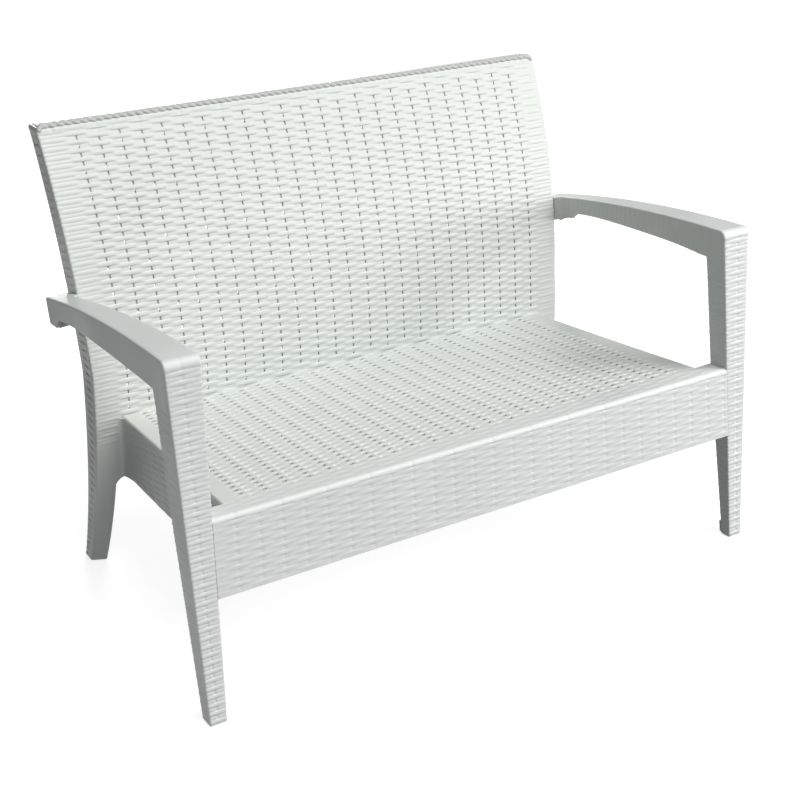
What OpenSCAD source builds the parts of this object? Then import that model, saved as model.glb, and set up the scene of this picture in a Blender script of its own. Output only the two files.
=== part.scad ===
// Two-seat garden bench in moulded resin with a woven-look surface.
// Four mouldings are bolted together: the back with its rear legs, the seat tray,
// and one arm with its front leg on each side. A steel tube stiffens the seat.
// X runs across the bench, Y to the rear, Z up. The origin is on the floor,
// in the middle of the bench. Lengths are in millimetres.

/* [Overall] */
// Width over the outsides of the two arms
bench_w = 1160; // [1140:5:1200]
// Height of the top edge of the back
bench_h = 880; // [860:5:900]
// Wall thickness of the back and the seat
wall = 5; // [4:0.5:6]
// Wall thickness of the arms and front legs
arm_wall = 4; // [3:0.5:5]

/* [Back and rear legs] */
// Height at which the back stands upright
upright_z = 425; // [410:5:440]
// Front face of the back at that height, behind the middle of the bench
upright_y = 205; // [200:1:210]
// How far the top of the back leans behind that face
lean = 103; // [90:1:115]
// How far the rear feet splay behind that face
splay = 109; // [95:1:120]
// Depth of the side band at the upright height
band_mid = 55; // [50:1:60]
// Depth of the side band at the top
band_top = 41; // [38:1:46]
// Depth of the rear foot
band_foot = 31; // [28:1:36]
// Half width of the back at the upright height
back_half_mid = 529; // [526:1:532]
// Half width of the back at the top
back_half_top = 541; // [538:1:544]
// Half width over the rear feet
back_half_foot = 549; // [546:1:552]
// Width of a rear foot
rear_foot_w = 30; // [28:1:34]
// How far the inner corner of a rear foot comes forward of its outer corner
foot_turn = 15; // [10:1:16]
// Height of the rail under the back's panel
rail_z = 234; // [230:1:250]

/* [Seat] */
// Height of the seat's front edge
seat_front_z = 361; // [356:1:366]
// Height of the seat where it meets the back
seat_rear_z = 336; // [330:1:342]
// Height of the lower edge of the apron and skirts
skirt_z = 223; // [218:1:228]
// Half width of the seat at the rear
seat_half_rear = 481; // [478:1:484]
// Half width of the seat just behind the front legs
seat_half_front = 497; // [493:1:500]
// Depth of the full-width front border of the seat
border_d = 47; // [44:1:60]
// Depth of the stiffening ribs under the seat
rib_h = 28; // [20:1:32]

/* [Arms and front legs] */
// Height of the arm at its front
arm_z = 630; // [620:1:640]
// Drop of the arm's top from front to rear
arm_drop = 50; // [45:1:55]
// Width of the arm at its front
arm_w = 61; // [58:1:64]
// How much narrower the arm is where it meets the back
arm_taper = 24; // [20:1:26]
// Width of a front foot
front_foot_w = 31; // [28:1:36]
// Depth of a front foot
front_foot_d = 32; // [30:1:36]
// Height of the arm's lower edge at the front leg
arm_low_z = 571; // [565:1:575]

/* [Fasteners and tube] */
// Bolt shank diameter
bolt_d = 6; // [5:0.5:8]
// Side of the square steel tube
tube_side = 25; // [20:1:25]
// Wall of the steel tube
tube_wall = 1.5; // [1.2:0.1:2]

/* [Hidden] */
$fn = 48;
white = [0.93, 0.94, 0.93];

arc_steps = 20;
joint_gap = 0.4;
far = 700;

// Radius of an arc that drops by rise over a run, with its tangent along the run
function arc_radius(run, rise) = (run * run + rise * rise) / (2 * rise);
// Drop of that arc at a distance from its tangent point
function arc_drop(d, r) = r - sqrt(r * r - d * d);
function mix(a, b, t) = a + (b - a) * t;
// Points along a circular arc, with angles from the horizontal
function arc_points(cx, cy, r, a0, a1, steps = 8) =
    [for (i = [0:steps]) let (a = mix(a0, a1, i / steps)) [cx + r * cos(a), cy + r * sin(a)]];
function mirrored(points) = [for (i = [len(points) - 1:-1:0]) [-points[i][0], points[i][1]]];

// Side view of the back: its front and rear faces are two arcs each, upright at upright_z
top_run = bench_h - upright_z;
face_up = arc_radius(top_run, lean);
face_down = arc_radius(upright_z, splay);
rear_up = arc_radius(top_run, lean + band_top - band_mid);
rear_down = arc_radius(upright_z, splay + band_foot - band_mid);
function face_y(z) = upright_y + arc_drop(z - upright_z, z > upright_z ? face_up : face_down);
function band_y(z) = upright_y + band_mid + arc_drop(z - upright_z, z > upright_z ? rear_up : rear_down);
function face_line(z0, z1, inset) =
    [for (i = [0:arc_steps]) let (z = mix(z0, z1, i / arc_steps)) [face_y(z) + inset, z]];
function band_line(z0, z1, inset) =
    [for (i = [0:arc_steps]) let (z = mix(z0, z1, i / arc_steps)) [band_y(z) + inset, z]];

// Front view of the back: half width and the inner edge of a rear leg, by height
function back_half(z) = z > upright_z
    ? mix(back_half_mid, back_half_top, (z - upright_z) / top_run)
    : mix(back_half_foot, back_half_mid, z / upright_z);
knee_z = 180;
knee_x = 500;
arch_r = 18;
rib_x = 494;
rib_w = 4;
rib_top = 604;
bead_r = 5;
panel_top = bench_h - bead_r;
foot_gap = 1.5;
socket_z = 24;
rear_foot_in = back_half_foot - rear_foot_w;
function rear_leg_in(z) = z > knee_z
    ? mix(knee_x, rib_x, (z - knee_z) / (rail_z - knee_z))
    : mix(rear_foot_in, knee_x, z / knee_z);

// Side view of the arm and front leg
arm_half = bench_w / 2;
arm_front_y = -323;
foot_front_y = -347;
arm_rear_y = 254;
foot_rear_y = foot_front_y + front_foot_d;
leg_rear_y = -266;
leg_knee_y = -279;
leg_knee_z = 352;
arm_nose_r = 14;
bracket_y = 150;
bracket_run = 75;
bracket_drop = 30;
arm_low_rear_z = 562;
inner_rise = 6;
inner_trim = 10;
band_meet_y = 198;
function arm_top(y) = arm_z - arm_drop * pow((y - arm_front_y) / (arm_rear_y - arm_front_y), 2);
function arm_low(y) = let (t = (y - leg_rear_y) / (bracket_y - leg_rear_y))
    mix(arm_low_z, arm_low_rear_z, t) + 12 * t * (1 - t);
// Inner edge of the arm, in plan
function arm_in(y) = arm_half - arm_w + arm_taper * pow(max(y - arm_front_y, 0) / (face_y(arm_low_rear_z) - arm_front_y), 1.3);
// Lower edge of the bracket where it steps down to hold the back: two equal arcs
bracket_arc = arc_radius(bracket_run / 2, bracket_drop / 2);
function bracket_low(d) = d < bracket_run / 2
    ? arm_low_rear_z - arc_drop(d, bracket_arc)
    : arm_low_rear_z - bracket_drop + arc_drop(bracket_run - d, bracket_arc);
function leg_face_y(z) = mix(foot_front_y, arm_front_y, z / arm_z);
function leg_back_y(z) = z > leg_knee_z
    ? mix(leg_knee_y, leg_rear_y, (z - leg_knee_z) / (arm_low_z - leg_knee_z))
    : mix(foot_rear_y, leg_knee_y, z / leg_knee_z);
function leg_in(z) = mix(arm_half - front_foot_w - 2, arm_half - arm_w, min(z / arm_z, 1));
function leg_out(z) = mix(arm_half - 2, arm_half, min(z / arm_z, 1));

// Side view of the seat
apron_top_y = leg_face_y(seat_front_z) - 0.5;
apron_low_y = leg_face_y(skirt_z) - 0.5;
seat_nose_r = 9;
seat_rear_y = face_y(seat_rear_z) - joint_gap;
border_rear_y = apron_top_y + border_d;
function seat_z(y) = let (t = (seat_rear_y - y) / (seat_rear_y - apron_top_y))
    seat_rear_z + (seat_front_z - seat_rear_z) * (0.8 * t + 0.2 * t * t);
cove_r = 9;

// Fasteners: bolt places
hole_r = bolt_d / 2 + 0.3;
head_r = bolt_d;
head_h = 4;
nut_h = 5;
nut_af = 10;
arm_bolt_y = 231;
arm_bolt_zs = [547, 571];
front_bolt_y = -309;
front_bolt_zs = [262, 322];
rear_bolt_xs = [170, 452];
rear_bolt_z = 290;
rear_tilt = asin((upright_z - rear_bolt_z) / face_down);
tube_y = -60;
tube_top_z = seat_z(tube_y) - wall - rib_h - 0.8;
tube_half = 476;
clip_xs = [-440, 0, 440];

// A side view (Y, Z) given depth along X, from x0 to x1
module side_slab(points, x0 = -far, x1 = far) {
    translate([x0, 0, 0])
        rotate([90, 0, 90])
            linear_extrude(x1 - x0)
                polygon(points);
}

// A front view (X, Z) given depth along Y, from y0 to y1
module front_slab(points, y0 = -far, y1 = far) {
    translate([0, y1, 0])
        rotate([90, 0, 0])
            linear_extrude(y1 - y0)
                polygon(points);
}

// A hole or rod along X through a point
module rod_x(r, x0, x1, y, z) {
    translate([x0, y, z])
        rotate([0, 90, 0])
            cylinder(r = r, h = x1 - x0);
}

module mirror_x(side) {
    if (side > 0) {
        children();
    } else {
        mirror([1, 0, 0]) children();
    }
}

// Everything behind the back's front face, with a gap in front of it
module behind_face(gap) {
    side_slab(concat(face_line(-2, bench_h, -gap), [[far, bench_h], [far, -2]]));
}

// Places a part at a bolt that clamps the seat to the back, pointing to the rear
module at_rear_bolt(x) {
    translate([x, face_y(rear_bolt_z), rear_bolt_z])
        rotate([-rear_tilt, 0, 0])
            rotate([-90, 0, 0])
                children();
}

// ---- Back with rear legs ----

module back_outline() {
    half = concat(
        [[rear_foot_in, foot_gap], [back_half_foot, foot_gap], [back_half_mid, upright_z]],
        arc_points(back_half_top - 10, panel_top - 10, 10, 0, 90, 6)
    );
    arch = concat(
        arc_points(rib_x - arch_r, rail_z - arch_r, arch_r, 90, 0, 6),
        [[knee_x, knee_z]]
    );
    front_slab(concat(half, mirrored(half), mirrored(arch), arch));
}

// Space inside a rear leg, and up behind the side band to the top of the inner rib
module rear_leg_hollow() {
    inner = [for (z = [-1, knee_z]) [rear_leg_in(z) + rib_w, z]];
    outer = [for (z = [rib_top, upright_z, -1]) [back_half(z) - wall, z]];
    front_slab(concat(inner, [[rib_x + rib_w, rail_z], [rib_x + rib_w, rib_top]], outer));
}

// A turned front face near the foot: its inner corner comes forward
module rear_leg_turn() {
    turn = atan(foot_turn / rear_foot_w);
    step = foot_turn * (rear_foot_in - knee_x) / rear_foot_w;
    slope = (face_y(0) - foot_turn - step - face_y(knee_z)) / knee_z;
    intersection() {
        front_slab([[rear_foot_in, foot_gap], [back_half_foot, foot_gap], [back_half(knee_z), knee_z], [knee_x, knee_z]]);
        side_slab(concat([[0, knee_z], [0, 0]], face_line(0, knee_z, wall)));
        translate([rear_foot_in, face_y(0) - foot_turn, 0])
            rotate([0, 0, turn])
                rotate([atan(slope * cos(turn)), 0, 0])
                    translate([-far, 0, -far])
                        cube([2 * far, far, 2 * far]);
    }
}

module rear_leg_webs() {
    for (z = [70, 130, 190, 250, 330, 420, 510]) {
        translate([0, 0, z])
            cube([far, far, 3]);
    }
}

module rear_leg_socket_wall() {
    side_slab(concat(band_line(-2, socket_z, -rib_w), [[far, socket_z], [far, -2]]));
}

module panel_hollow() {
    top = panel_top - wall;
    low = rail_z + wall;
    wide = [[back_half(rib_top) - wall, rib_top], [back_half(top) - wall, top]];
    narrow = [[rib_x, low], [rib_x, rib_top]];
    front_slab(concat(narrow, wide, mirrored(wide), mirrored(narrow)));
}

module back_shell() {
    color(white)
        difference() {
            union() {
                intersection() {
                    side_slab(concat(face_line(0, bench_h, 0), band_line(bench_h, 0, 0)));
                    back_outline();
                }
                rod_x(bead_r, 10 - back_half_top, back_half_top - 10, face_y(panel_top) + 4, panel_top);
                for (side = [-1, 1]) {
                    mirror_x(side)
                        rear_leg_turn();
                }
            }
            intersection() {
                behind_face(-wall);
                panel_hollow();
            }
            for (side = [-1, 1]) {
                mirror_x(side)
                    difference() {
                        intersection() {
                            behind_face(-wall);
                            rear_leg_hollow();
                        }
                        rear_leg_webs();
                        rear_leg_socket_wall();
                    }
                mirror_x(side)
                    for (z = arm_bolt_zs) {
                        rod_x(hole_r, rib_x + 10, far, arm_bolt_y, z);
                    }
                for (x = rear_bolt_xs) {
                    at_rear_bolt(side * x)
                        translate([0, 0, -20])
                            cylinder(r = hole_r, h = 60);
                }
            }
        }
}

// ---- Seat ----

module seat_profile(inset) {
    top_y0 = apron_top_y + seat_nose_r;
    nose_z = seat_z(top_y0) - seat_nose_r;
    nose = arc_points(top_y0, nose_z, seat_nose_r - inset, 180, 90, 6);
    top = [for (i = [1:arc_steps]) let (y = mix(top_y0, seat_rear_y - inset, i / arc_steps)) [y, seat_z(y) - inset]];
    low = inset > 0 ? skirt_z - 1 : skirt_z;
    rear = [for (i = [1:6]) let (z = mix(seat_z(seat_rear_y) - inset, low, i / 6)) [face_y(z) - joint_gap - inset, z]];
    side_slab(concat([[apron_low_y + inset, low]], nose, top, rear));
}

// Plan of the seat behind its front border, with a cove at each rear corner
module seat_plan(inset) {
    cove_y = seat_rear_y - cove_r - 2;
    cove = inset > 0 ? [[seat_half_rear - inset, cove_y]] : arc_points(seat_half_rear + cove_r, cove_y, cove_r, 180, 90, 6);
    rear = [[inset > 0 ? seat_half_rear - inset : seat_half_rear + cove_r, far]];
    half = concat([[seat_half_front - inset, border_rear_y - 40]], cove, rear);
    translate([0, 0, -1])
        linear_extrude(far)
            polygon(concat(half, mirrored(half)));
}

module seat_border(inset) {
    low = skirt_z - 2;
    half = [[leg_in(low) - joint_gap - inset, low], [leg_in(arm_low_z) - joint_gap - inset, arm_low_z]];
    front_slab(concat(half, mirrored(half)), -far, border_rear_y - inset);
}

module seat_body(inset) {
    intersection() {
        seat_profile(inset);
        union() {
            seat_plan(inset);
            seat_border(inset);
        }
    }
}

// Stiffening ribs hang under the seat panel
module seat_ribs() {
    under = [for (i = [0:arc_steps]) let (y = mix(apron_top_y, seat_rear_y, i / arc_steps)) [y, seat_z(y) - wall - rib_h]];
    intersection() {
        side_slab(concat(under, [[seat_rear_y, bench_h], [apron_top_y, bench_h]]));
        union() {
            for (x = [-366, -244, -122, 0, 122, 244, 366]) {
                translate([x - 1.5, -far, 0])
                    cube([3, 2 * far, bench_h]);
            }
            for (y = [-200, -60, 80]) {
                translate([-far, y - 1.5, 0])
                    cube([2 * far, 3, bench_h]);
            }
        }
    }
}

// A snap clip that holds the steel tube under the ribs
module tube_clip(x) {
    half = tube_side / 2 + 0.3;
    low = tube_top_z - tube_side - 0.4;
    top = tube_top_z + rib_h + wall;
    cheek = [[half, top], [half, low], [half - 1.5, low], [half - 1.5, low - 1.5], [half + 3, low - 1.5],
        [half + 3, top]];
    translate([0, tube_y, 0])
        for (s = [-1, 1]) {
            side_slab([for (p = cheek) [s * p[0], p[1]]], x - 15, x + 15);
        }
}

module seat_shell() {
    color(white) {
        difference() {
            seat_body(0);
            difference() {
                seat_body(wall);
                seat_ribs();
                for (x = clip_xs) {
                    tube_clip(x);
                }
            }
            for (side = [-1, 1]) {
                mirror_x(side)
                    for (z = front_bolt_zs) {
                        rod_x(hole_r, seat_half_front + 10, far, front_bolt_y, z);
                    }
                for (x = rear_bolt_xs) {
                    at_rear_bolt(side * x)
                        translate([0, 0, -25])
                            cylinder(r = hole_r, h = 50);
                }
            }
        }
    }
}

// ---- Arms with front legs ----

// Side view of the arm and leg, drawn from the front foot up, back along the top and forward underneath
module arm_profile() {
    nose_z = arm_z - arm_nose_r;
    nose = arc_points(leg_face_y(nose_z) + arm_nose_r, nose_z, arm_nose_r, 180, 90, 6);
    top_y0 = leg_face_y(nose_z) + arm_nose_r;
    top = [for (i = [1:arc_steps]) let (y = mix(top_y0, arm_rear_y, i / arc_steps)) [y, arm_top(y)]];
    bracket = [for (i = [10:-1:0]) let (d = bracket_run * i / 10) [bracket_y + d, bracket_low(d)]];
    low = [for (i = [9:-1:0]) let (y = mix(leg_rear_y + 3, bracket_y, i / 10)) [y, arm_low(y)]];
    side_slab(concat(
        [[foot_front_y, foot_gap]], nose, top,
        [[arm_rear_y - 6, bracket_low(bracket_run)]],
        bracket, low,
        [[leg_rear_y, arm_low_z - 3], [leg_knee_y, leg_knee_z], [foot_rear_y, foot_gap]]
    ));
}

// Plan of the arm: its inner side runs outwards to the rear and meets the back's side band
module arm_plan(inset) {
    inner = [for (i = [0:arc_steps]) let (y = mix(arm_front_y, band_meet_y, i / arc_steps)) [arm_in(y) + inset, y]];
    band_x = back_half(arm_low_rear_z) + joint_gap + inset;
    translate([0, 0, -1])
        linear_extrude(2 * far)
            polygon(concat([[far, -far], [arm_half - arm_w + inset, -far]], inner, [[band_x, band_meet_y + 16], [band_x - 8, far], [far, far]]));
}

// Cuts the inner wall back from the rear edge of the leg and the lower edge of the arm
module inner_wall_trim() {
    edge = [for (i = [0:10]) let (y = mix(leg_rear_y + 3, bracket_y, i / 10)) [y, arm_low(y) + inner_rise * (1 - pow(i / 5 - 1, 4))]];
    trim = concat([[foot_rear_y - inner_trim, -1], [leg_knee_y - inner_trim, leg_knee_z], [leg_rear_y - inner_trim, arm_low_z]],
        edge, [[bracket_y, -1]]);
    inner = [[leg_in(0) + arm_wall + 0.5, -1], [leg_in(arm_z) + arm_wall + 0.5, arm_z]];
    intersection() {
        side_slab(trim);
        union() {
            front_slab(concat(inner, [[0, arm_z], [0, -1]]));
            difference() {
                translate([0, -far, arm_low_z - 40])
                    cube([arm_half - 16, 2 * far, 100]);
                arm_plan(arm_wall + 0.5);
            }
        }
    }
}

module leg_outline(inset) {
    low = [[leg_in(0) + inset, -1], [leg_in(arm_z) + inset, arm_z]];
    front_slab(concat(low, [[arm_half - arm_w + inset, bench_h], [arm_half - inset, bench_h], [leg_out(arm_z) - inset, arm_z],
        [leg_out(0) - inset, -1]]));
}

// Room for the back's side band, which the arm reaches past
module band_notch(gap) {
    half = [for (z = [upright_z, bench_h]) [back_half(z) + gap, z]];
    intersection() {
        front_slab(concat(half, [[0, bench_h], [0, upright_z]]));
        behind_face(gap);
    }
}

// Space inside the arm and leg: open under the arm and behind the leg, closed round the foot
module arm_hollow() {
    top_y0 = leg_face_y(arm_z) + arm_nose_r;
    top = [for (i = [0:arc_steps]) let (y = mix(top_y0, arm_rear_y - arm_wall, i / arc_steps)) [y, arm_top(y) - arm_wall]];
    space = concat(
        [[foot_front_y + arm_wall, -1], [leg_face_y(arm_z - arm_nose_r) + arm_wall, arm_z - arm_nose_r]], top,
        [[arm_rear_y - 6 - arm_wall, arm_low_rear_z - 40], [bracket_y, arm_low_rear_z - 40], [leg_rear_y + 40, arm_low_z - 30],
            [leg_rear_y + 12, leg_knee_z], [foot_rear_y + 12, socket_z], [leg_back_y(socket_z) - arm_wall, socket_z],
            [foot_rear_y - arm_wall, -1]]
    );
    difference() {
        intersection() {
            side_slab(space);
            leg_outline(arm_wall);
            arm_plan(arm_wall);
        }
        band_notch(joint_gap + arm_wall);
        for (z = [90, 160, 230, 292, 352, 420, 490]) {
            translate([0, -far, z])
                cube([far, far + leg_back_y(z) - inner_trim - 3, 3]);
        }
        for (y = [-200, -110, -20, 70, 160]) {
            translate([0, y, arm_low(y) + inner_rise + 3])
                cube([far, 3, 100]);
        }
    }
}

module arm(side) {
    color(white)
        mirror_x(side)
            difference() {
                intersection() {
                    arm_profile();
                    leg_outline(0);
                    arm_plan(0);
                }
                inner_wall_trim();
                band_notch(joint_gap);
                arm_hollow();
                for (z = arm_bolt_zs) {
                    rod_x(hole_r, 500, arm_half - 20, arm_bolt_y, z);
                }
                for (z = front_bolt_zs) {
                    rod_x(hole_r, 500, arm_half - 20, front_bolt_y, z);
                }
            }
}

module arm_left() {
    arm(-1);
}

module arm_right() {
    arm(1);
}

// ---- Steel tube under the seat ----

module seat_tube() {
    color("silver")
        translate([-tube_half, tube_y - tube_side / 2, tube_top_z - tube_side])
            difference() {
                cube([2 * tube_half, tube_side, tube_side]);
                translate([-1, tube_wall, tube_wall])
                    cube([2 * tube_half + 2, tube_side - 2 * tube_wall, tube_side - 2 * tube_wall]);
            }
}

module tube_plug(side) {
    inner = tube_side - 2 * tube_wall - 0.4;
    color("dimgray")
        mirror_x(side)
            translate([tube_half, tube_y, tube_top_z - tube_side / 2])
                rotate([0, 90, 0]) {
                    translate([-tube_side / 2, -tube_side / 2, 0])
                        cube([tube_side, tube_side, 2]);
                    translate([-inner / 2, -inner / 2, -14])
                        cube([inner, inner, 14.5]);
                }
}

module tube_plug_left() {
    tube_plug(-1);
}

module tube_plug_right() {
    tube_plug(1);
}

// ---- Foot inserts, pressed into the open leg ends ----

module foot_front(side) {
    slack = arm_wall + 0.3;
    color("gainsboro")
        mirror_x(side)
            intersection() {
                side_slab([[foot_front_y + slack + 0.2, 0], [leg_face_y(18) + slack, 18], [leg_back_y(18) - slack, 18],
                    [foot_rear_y - slack, 0]]);
                front_slab([[leg_in(0) + slack, 0], [leg_in(18) + slack, 18], [leg_out(18) - slack, 18],
                    [leg_out(0) - slack, 0]]);
            }
}

module foot_rear(side) {
    slack = rib_w + 0.3;
    color("gainsboro")
        mirror_x(side)
            intersection() {
                side_slab([[face_y(0) + wall + 0.4, 0], [face_y(18) + wall + 0.4, 18], [band_y(18) - slack, 18],
                    [band_y(0) - slack - 0.4, 0]]);
                front_slab([[rear_leg_in(0) + slack, 0], [rear_leg_in(18) + slack, 18], [back_half(18) - wall - 0.3, 18],
                    [back_half(0) - wall - 0.6, 0]]);
            }
}

module foot_front_left() {
    foot_front(-1);
}

module foot_front_right() {
    foot_front(1);
}

module foot_rear_left() {
    foot_rear(-1);
}

module foot_rear_right() {
    foot_rear(1);
}

// ---- Bolts and nuts ----

// A bolt along +Z whose head rests on z = 0 from below
module bolt(reach) {
    color("silver") {
        translate([0, 0, -head_h])
            cylinder(r = head_r, h = head_h);
        cylinder(r = bolt_d / 2, h = reach);
    }
}

module nut() {
    color("silver")
        difference() {
            cylinder(r = nut_af / sqrt(3), h = nut_h, $fn = 6);
            translate([0, 0, -1])
                cylinder(r = bolt_d / 2 + 0.1, h = nut_h + 2);
        }
}

// Inner faces that the arm's bolt head and nut bear on, at a height
module arm_bolts(side, nuts) {
    mirror_x(side)
        for (z = arm_bolt_zs) {
            seat_x = back_half(z) - wall - 0.4;
            nut_x = back_half(z) + joint_gap + arm_wall + 0.5;
            translate([nuts ? nut_x : seat_x, arm_bolt_y, z])
                rotate([0, 90, 0])
                    if (nuts) {
                        nut();
                    } else {
                        bolt(20);
                    }
        }
}

module front_bolts(side, nuts) {
    mirror_x(side)
        for (z = front_bolt_zs) {
            seat_x = leg_in(z) - joint_gap - wall - 0.5;
            nut_x = leg_in(z) + arm_wall + 0.5;
            translate([nuts ? nut_x : seat_x, front_bolt_y, z])
                rotate([0, 90, 0])
                    if (nuts) {
                        nut();
                    } else {
                        bolt(20);
                    }
        }
}

module rear_bolts(side, nuts) {
    for (x = rear_bolt_xs) {
        at_rear_bolt(side * x)
            if (nuts) {
                translate([0, 0, wall + 0.3])
                    nut();
            } else {
                translate([0, 0, -joint_gap - wall - 0.3])
                    bolt(20);
            }
    }
}

module arm_bolts_left() {
    arm_bolts(-1, false);
}

module arm_bolts_right() {
    arm_bolts(1, false);
}

module arm_nuts_left() {
    arm_bolts(-1, true);
}

module arm_nuts_right() {
    arm_bolts(1, true);
}

module front_bolts_left() {
    front_bolts(-1, false);
}

module front_bolts_right() {
    front_bolts(1, false);
}

module front_nuts_left() {
    front_bolts(-1, true);
}

module front_nuts_right() {
    front_bolts(1, true);
}

module rear_bolts_left() {
    rear_bolts(-1, false);
}

module rear_bolts_right() {
    rear_bolts(1, false);
}

module rear_nuts_left() {
    rear_bolts(-1, true);
}

module rear_nuts_right() {
    rear_bolts(1, true);
}

back_shell();
seat_shell();
arm_left();
arm_right();
seat_tube();
tube_plug_left();
tube_plug_right();
foot_front_left();
foot_front_right();
foot_rear_left();
foot_rear_right();
arm_bolts_left();
arm_bolts_right();
arm_nuts_left();
arm_nuts_right();
front_bolts_left();
front_bolts_right();
front_nuts_left();
front_nuts_right();
rear_bolts_left();
rear_bolts_right();
rear_nuts_left();
rear_nuts_right();
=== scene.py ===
"""Looks for the two-seat garden bench: woven-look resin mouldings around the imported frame.

Lengths are millimetres until a mesh is made, and metres for the lights and the camera.
X runs across the bench, Y to the rear, Z up, as in the CAD model. Each woven skin is a
grid of points: s runs across the strand rows and u along them, past the columns.
"""

import math

import bmesh
import bpy
import numpy as np
from mathutils import Matrix, Vector


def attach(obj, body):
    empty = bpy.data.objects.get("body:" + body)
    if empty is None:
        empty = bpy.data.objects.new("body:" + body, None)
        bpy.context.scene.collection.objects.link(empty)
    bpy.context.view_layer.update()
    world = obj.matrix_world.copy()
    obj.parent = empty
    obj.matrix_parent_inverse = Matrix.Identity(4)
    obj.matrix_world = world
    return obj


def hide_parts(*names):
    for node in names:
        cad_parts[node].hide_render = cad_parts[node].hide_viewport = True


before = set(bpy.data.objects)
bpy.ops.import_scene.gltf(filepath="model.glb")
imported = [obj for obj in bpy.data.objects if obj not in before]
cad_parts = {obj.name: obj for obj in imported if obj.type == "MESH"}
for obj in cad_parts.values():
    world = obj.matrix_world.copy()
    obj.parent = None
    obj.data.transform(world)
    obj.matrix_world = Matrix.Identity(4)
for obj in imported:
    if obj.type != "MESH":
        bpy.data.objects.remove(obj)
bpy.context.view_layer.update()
MM = 0.001
SIDES = ((1, "right"), (-1, "left"))

# ---- Driving dimensions, the same as the CAD model's ----
BENCH_H = 880.0
WALL = 5.0
ARM_WALL = 4.0
UPRIGHT_Z = 425.0
UPRIGHT_Y = 205.0
LEAN, SPLAY = 103.0, 109.0
BAND_MID, BAND_TOP, BAND_FOOT = 55.0, 41.0, 31.0
HALF_MID, HALF_TOP, HALF_FOOT = 529.0, 541.0, 549.0
REAR_FOOT_W, FOOT_TURN, FOOT_TURN_Z = 30.0, 15.0, 215.0
RAIL_Z, KNEE_Z, KNEE_X, RIB_X = 234.0, 180.0, 500.0, 494.0
SEAT_FRONT_Z, SEAT_REAR_Z, SKIRT_Z = 361.0, 336.0, 223.0
SEAT_HALF_REAR, SEAT_HALF_FRONT = 481.0, 497.0
BORDER_D = 47.0
ARM_HALF = 580.0
ARM_Z, ARM_DROP, ARM_W, ARM_TAPER = 630.0, 50.0, 61.0, 24.0
ARM_FRONT_Y, FOOT_FRONT_Y, ARM_REAR_Y = -323.0, -347.0, 254.0
FRONT_FOOT_W, FRONT_FOOT_D = 31.0, 32.0
ARM_LOW_Z, ARM_LOW_REAR_Z = 571.0, 562.0
LEG_REAR_Y, LEG_KNEE_Y, LEG_KNEE_Z = -266.0, -279.0, 352.0
BRACKET_Y, BRACKET_RUN, BRACKET_DROP = 150.0, 75.0, 30.0
BAND_MEET_Y = 198.0
FOOT_GAP = 1.5
NOSE_R = 14.0
SEAT_NOSE_R = 9.0
BEAD_R = 5.0
GAP = 0.4

# ---- The weave: strand rows, the columns they cross, and the relief of smooth resin ----
ROW_BACK, ROW_SEAT, ROW_SIDE = 8.0, 8.55, 7.7
COL_BACK, COL_SEAT = 41.04, 40.7
SMOOTH = -0.1

# Places in a piece's list of materials: the resin, the darker resin of painted shade in the slits, the nearly
# white resin of the painted highlight, and the lighter resin of painted light on the front border
MAIN, SLIT_SHADE, EDGE, LIGHT_BORDER = range(4)


def mix(a, b, t):
    return a + (b - a) * t


def smooth(a, b, x):
    t = np.clip((x - a) / (b - a), 0.0, 1.0)
    return t * t * (3 - 2 * t)


def bell(d, width):
    return np.exp(-(d / width) ** 2)


def arc_radius(run, rise):
    return (run * run + rise * rise) / (2 * rise)


def arc_drop(d, r):
    return r - np.sqrt(r * r - d * d)


# ---- Outlines of the four mouldings ----
TOP_RUN = BENCH_H - UPRIGHT_Z
FACE_UP = arc_radius(TOP_RUN, LEAN)
FACE_DOWN = arc_radius(UPRIGHT_Z, SPLAY)
REAR_UP = arc_radius(TOP_RUN, LEAN + BAND_TOP - BAND_MID)
REAR_DOWN = arc_radius(UPRIGHT_Z, SPLAY + BAND_FOOT - BAND_MID)
TOP_CORNER_R = 10.0


def kinked(z, knee, top, at_floor, at_knee, at_top):
    """A line with one bend, given by its places at the floor, at the knee and at the top."""
    upper = mix(at_knee, at_top, (z - knee) / (top - knee))
    return np.where(z > knee, upper, mix(at_floor, at_knee, z / knee))


def two_arcs(z, r_up, r_down):
    """How far a line has bent back at z, above and below the upright point."""
    d = z - UPRIGHT_Z
    return np.where(d > 0, arc_drop(d, r_up), arc_drop(d, r_down))


def face_y(z):
    """Front face of the back and its legs."""
    return UPRIGHT_Y + two_arcs(z, FACE_UP, FACE_DOWN)


def band_y(z):
    """Rear edge of the back's side band."""
    return UPRIGHT_Y + BAND_MID + two_arcs(z, REAR_UP, REAR_DOWN)


def back_half(z):
    return kinked(z, UPRIGHT_Z, BENCH_H, HALF_FOOT, HALF_MID, HALF_TOP)


def back_halfwidth(z):
    """Half the width of the back, with its rounded top corners."""
    d = np.clip(z - (BENCH_H - TOP_CORNER_R), 0, TOP_CORNER_R)
    return back_half(z) - (TOP_CORNER_R - np.sqrt(TOP_CORNER_R ** 2 - d ** 2))


def rear_leg_in(z):
    return kinked(z, KNEE_Z, RAIL_Z, HALF_FOOT - REAR_FOOT_W, KNEE_X, RIB_X)


def foot_turn(z):
    """How far the inner side of the rear foot turns forward."""
    return FOOT_TURN * np.clip(1 - z / FOOT_TURN_Z, 0, 1) ** 1.25


def leg_face_y(z):
    return mix(FOOT_FRONT_Y, ARM_FRONT_Y, z / ARM_Z)


def leg_back_y(z):
    return kinked(z, LEG_KNEE_Z, ARM_LOW_Z, FOOT_FRONT_Y + FRONT_FOOT_D, LEG_KNEE_Y, LEG_REAR_Y)


def leg_in(z):
    return mix(ARM_HALF - FRONT_FOOT_W - 2, ARM_HALF - ARM_W, np.minimum(z / ARM_Z, 1))


def leg_out(z):
    return mix(ARM_HALF - 2, ARM_HALF, np.minimum(z / ARM_Z, 1))


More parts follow.
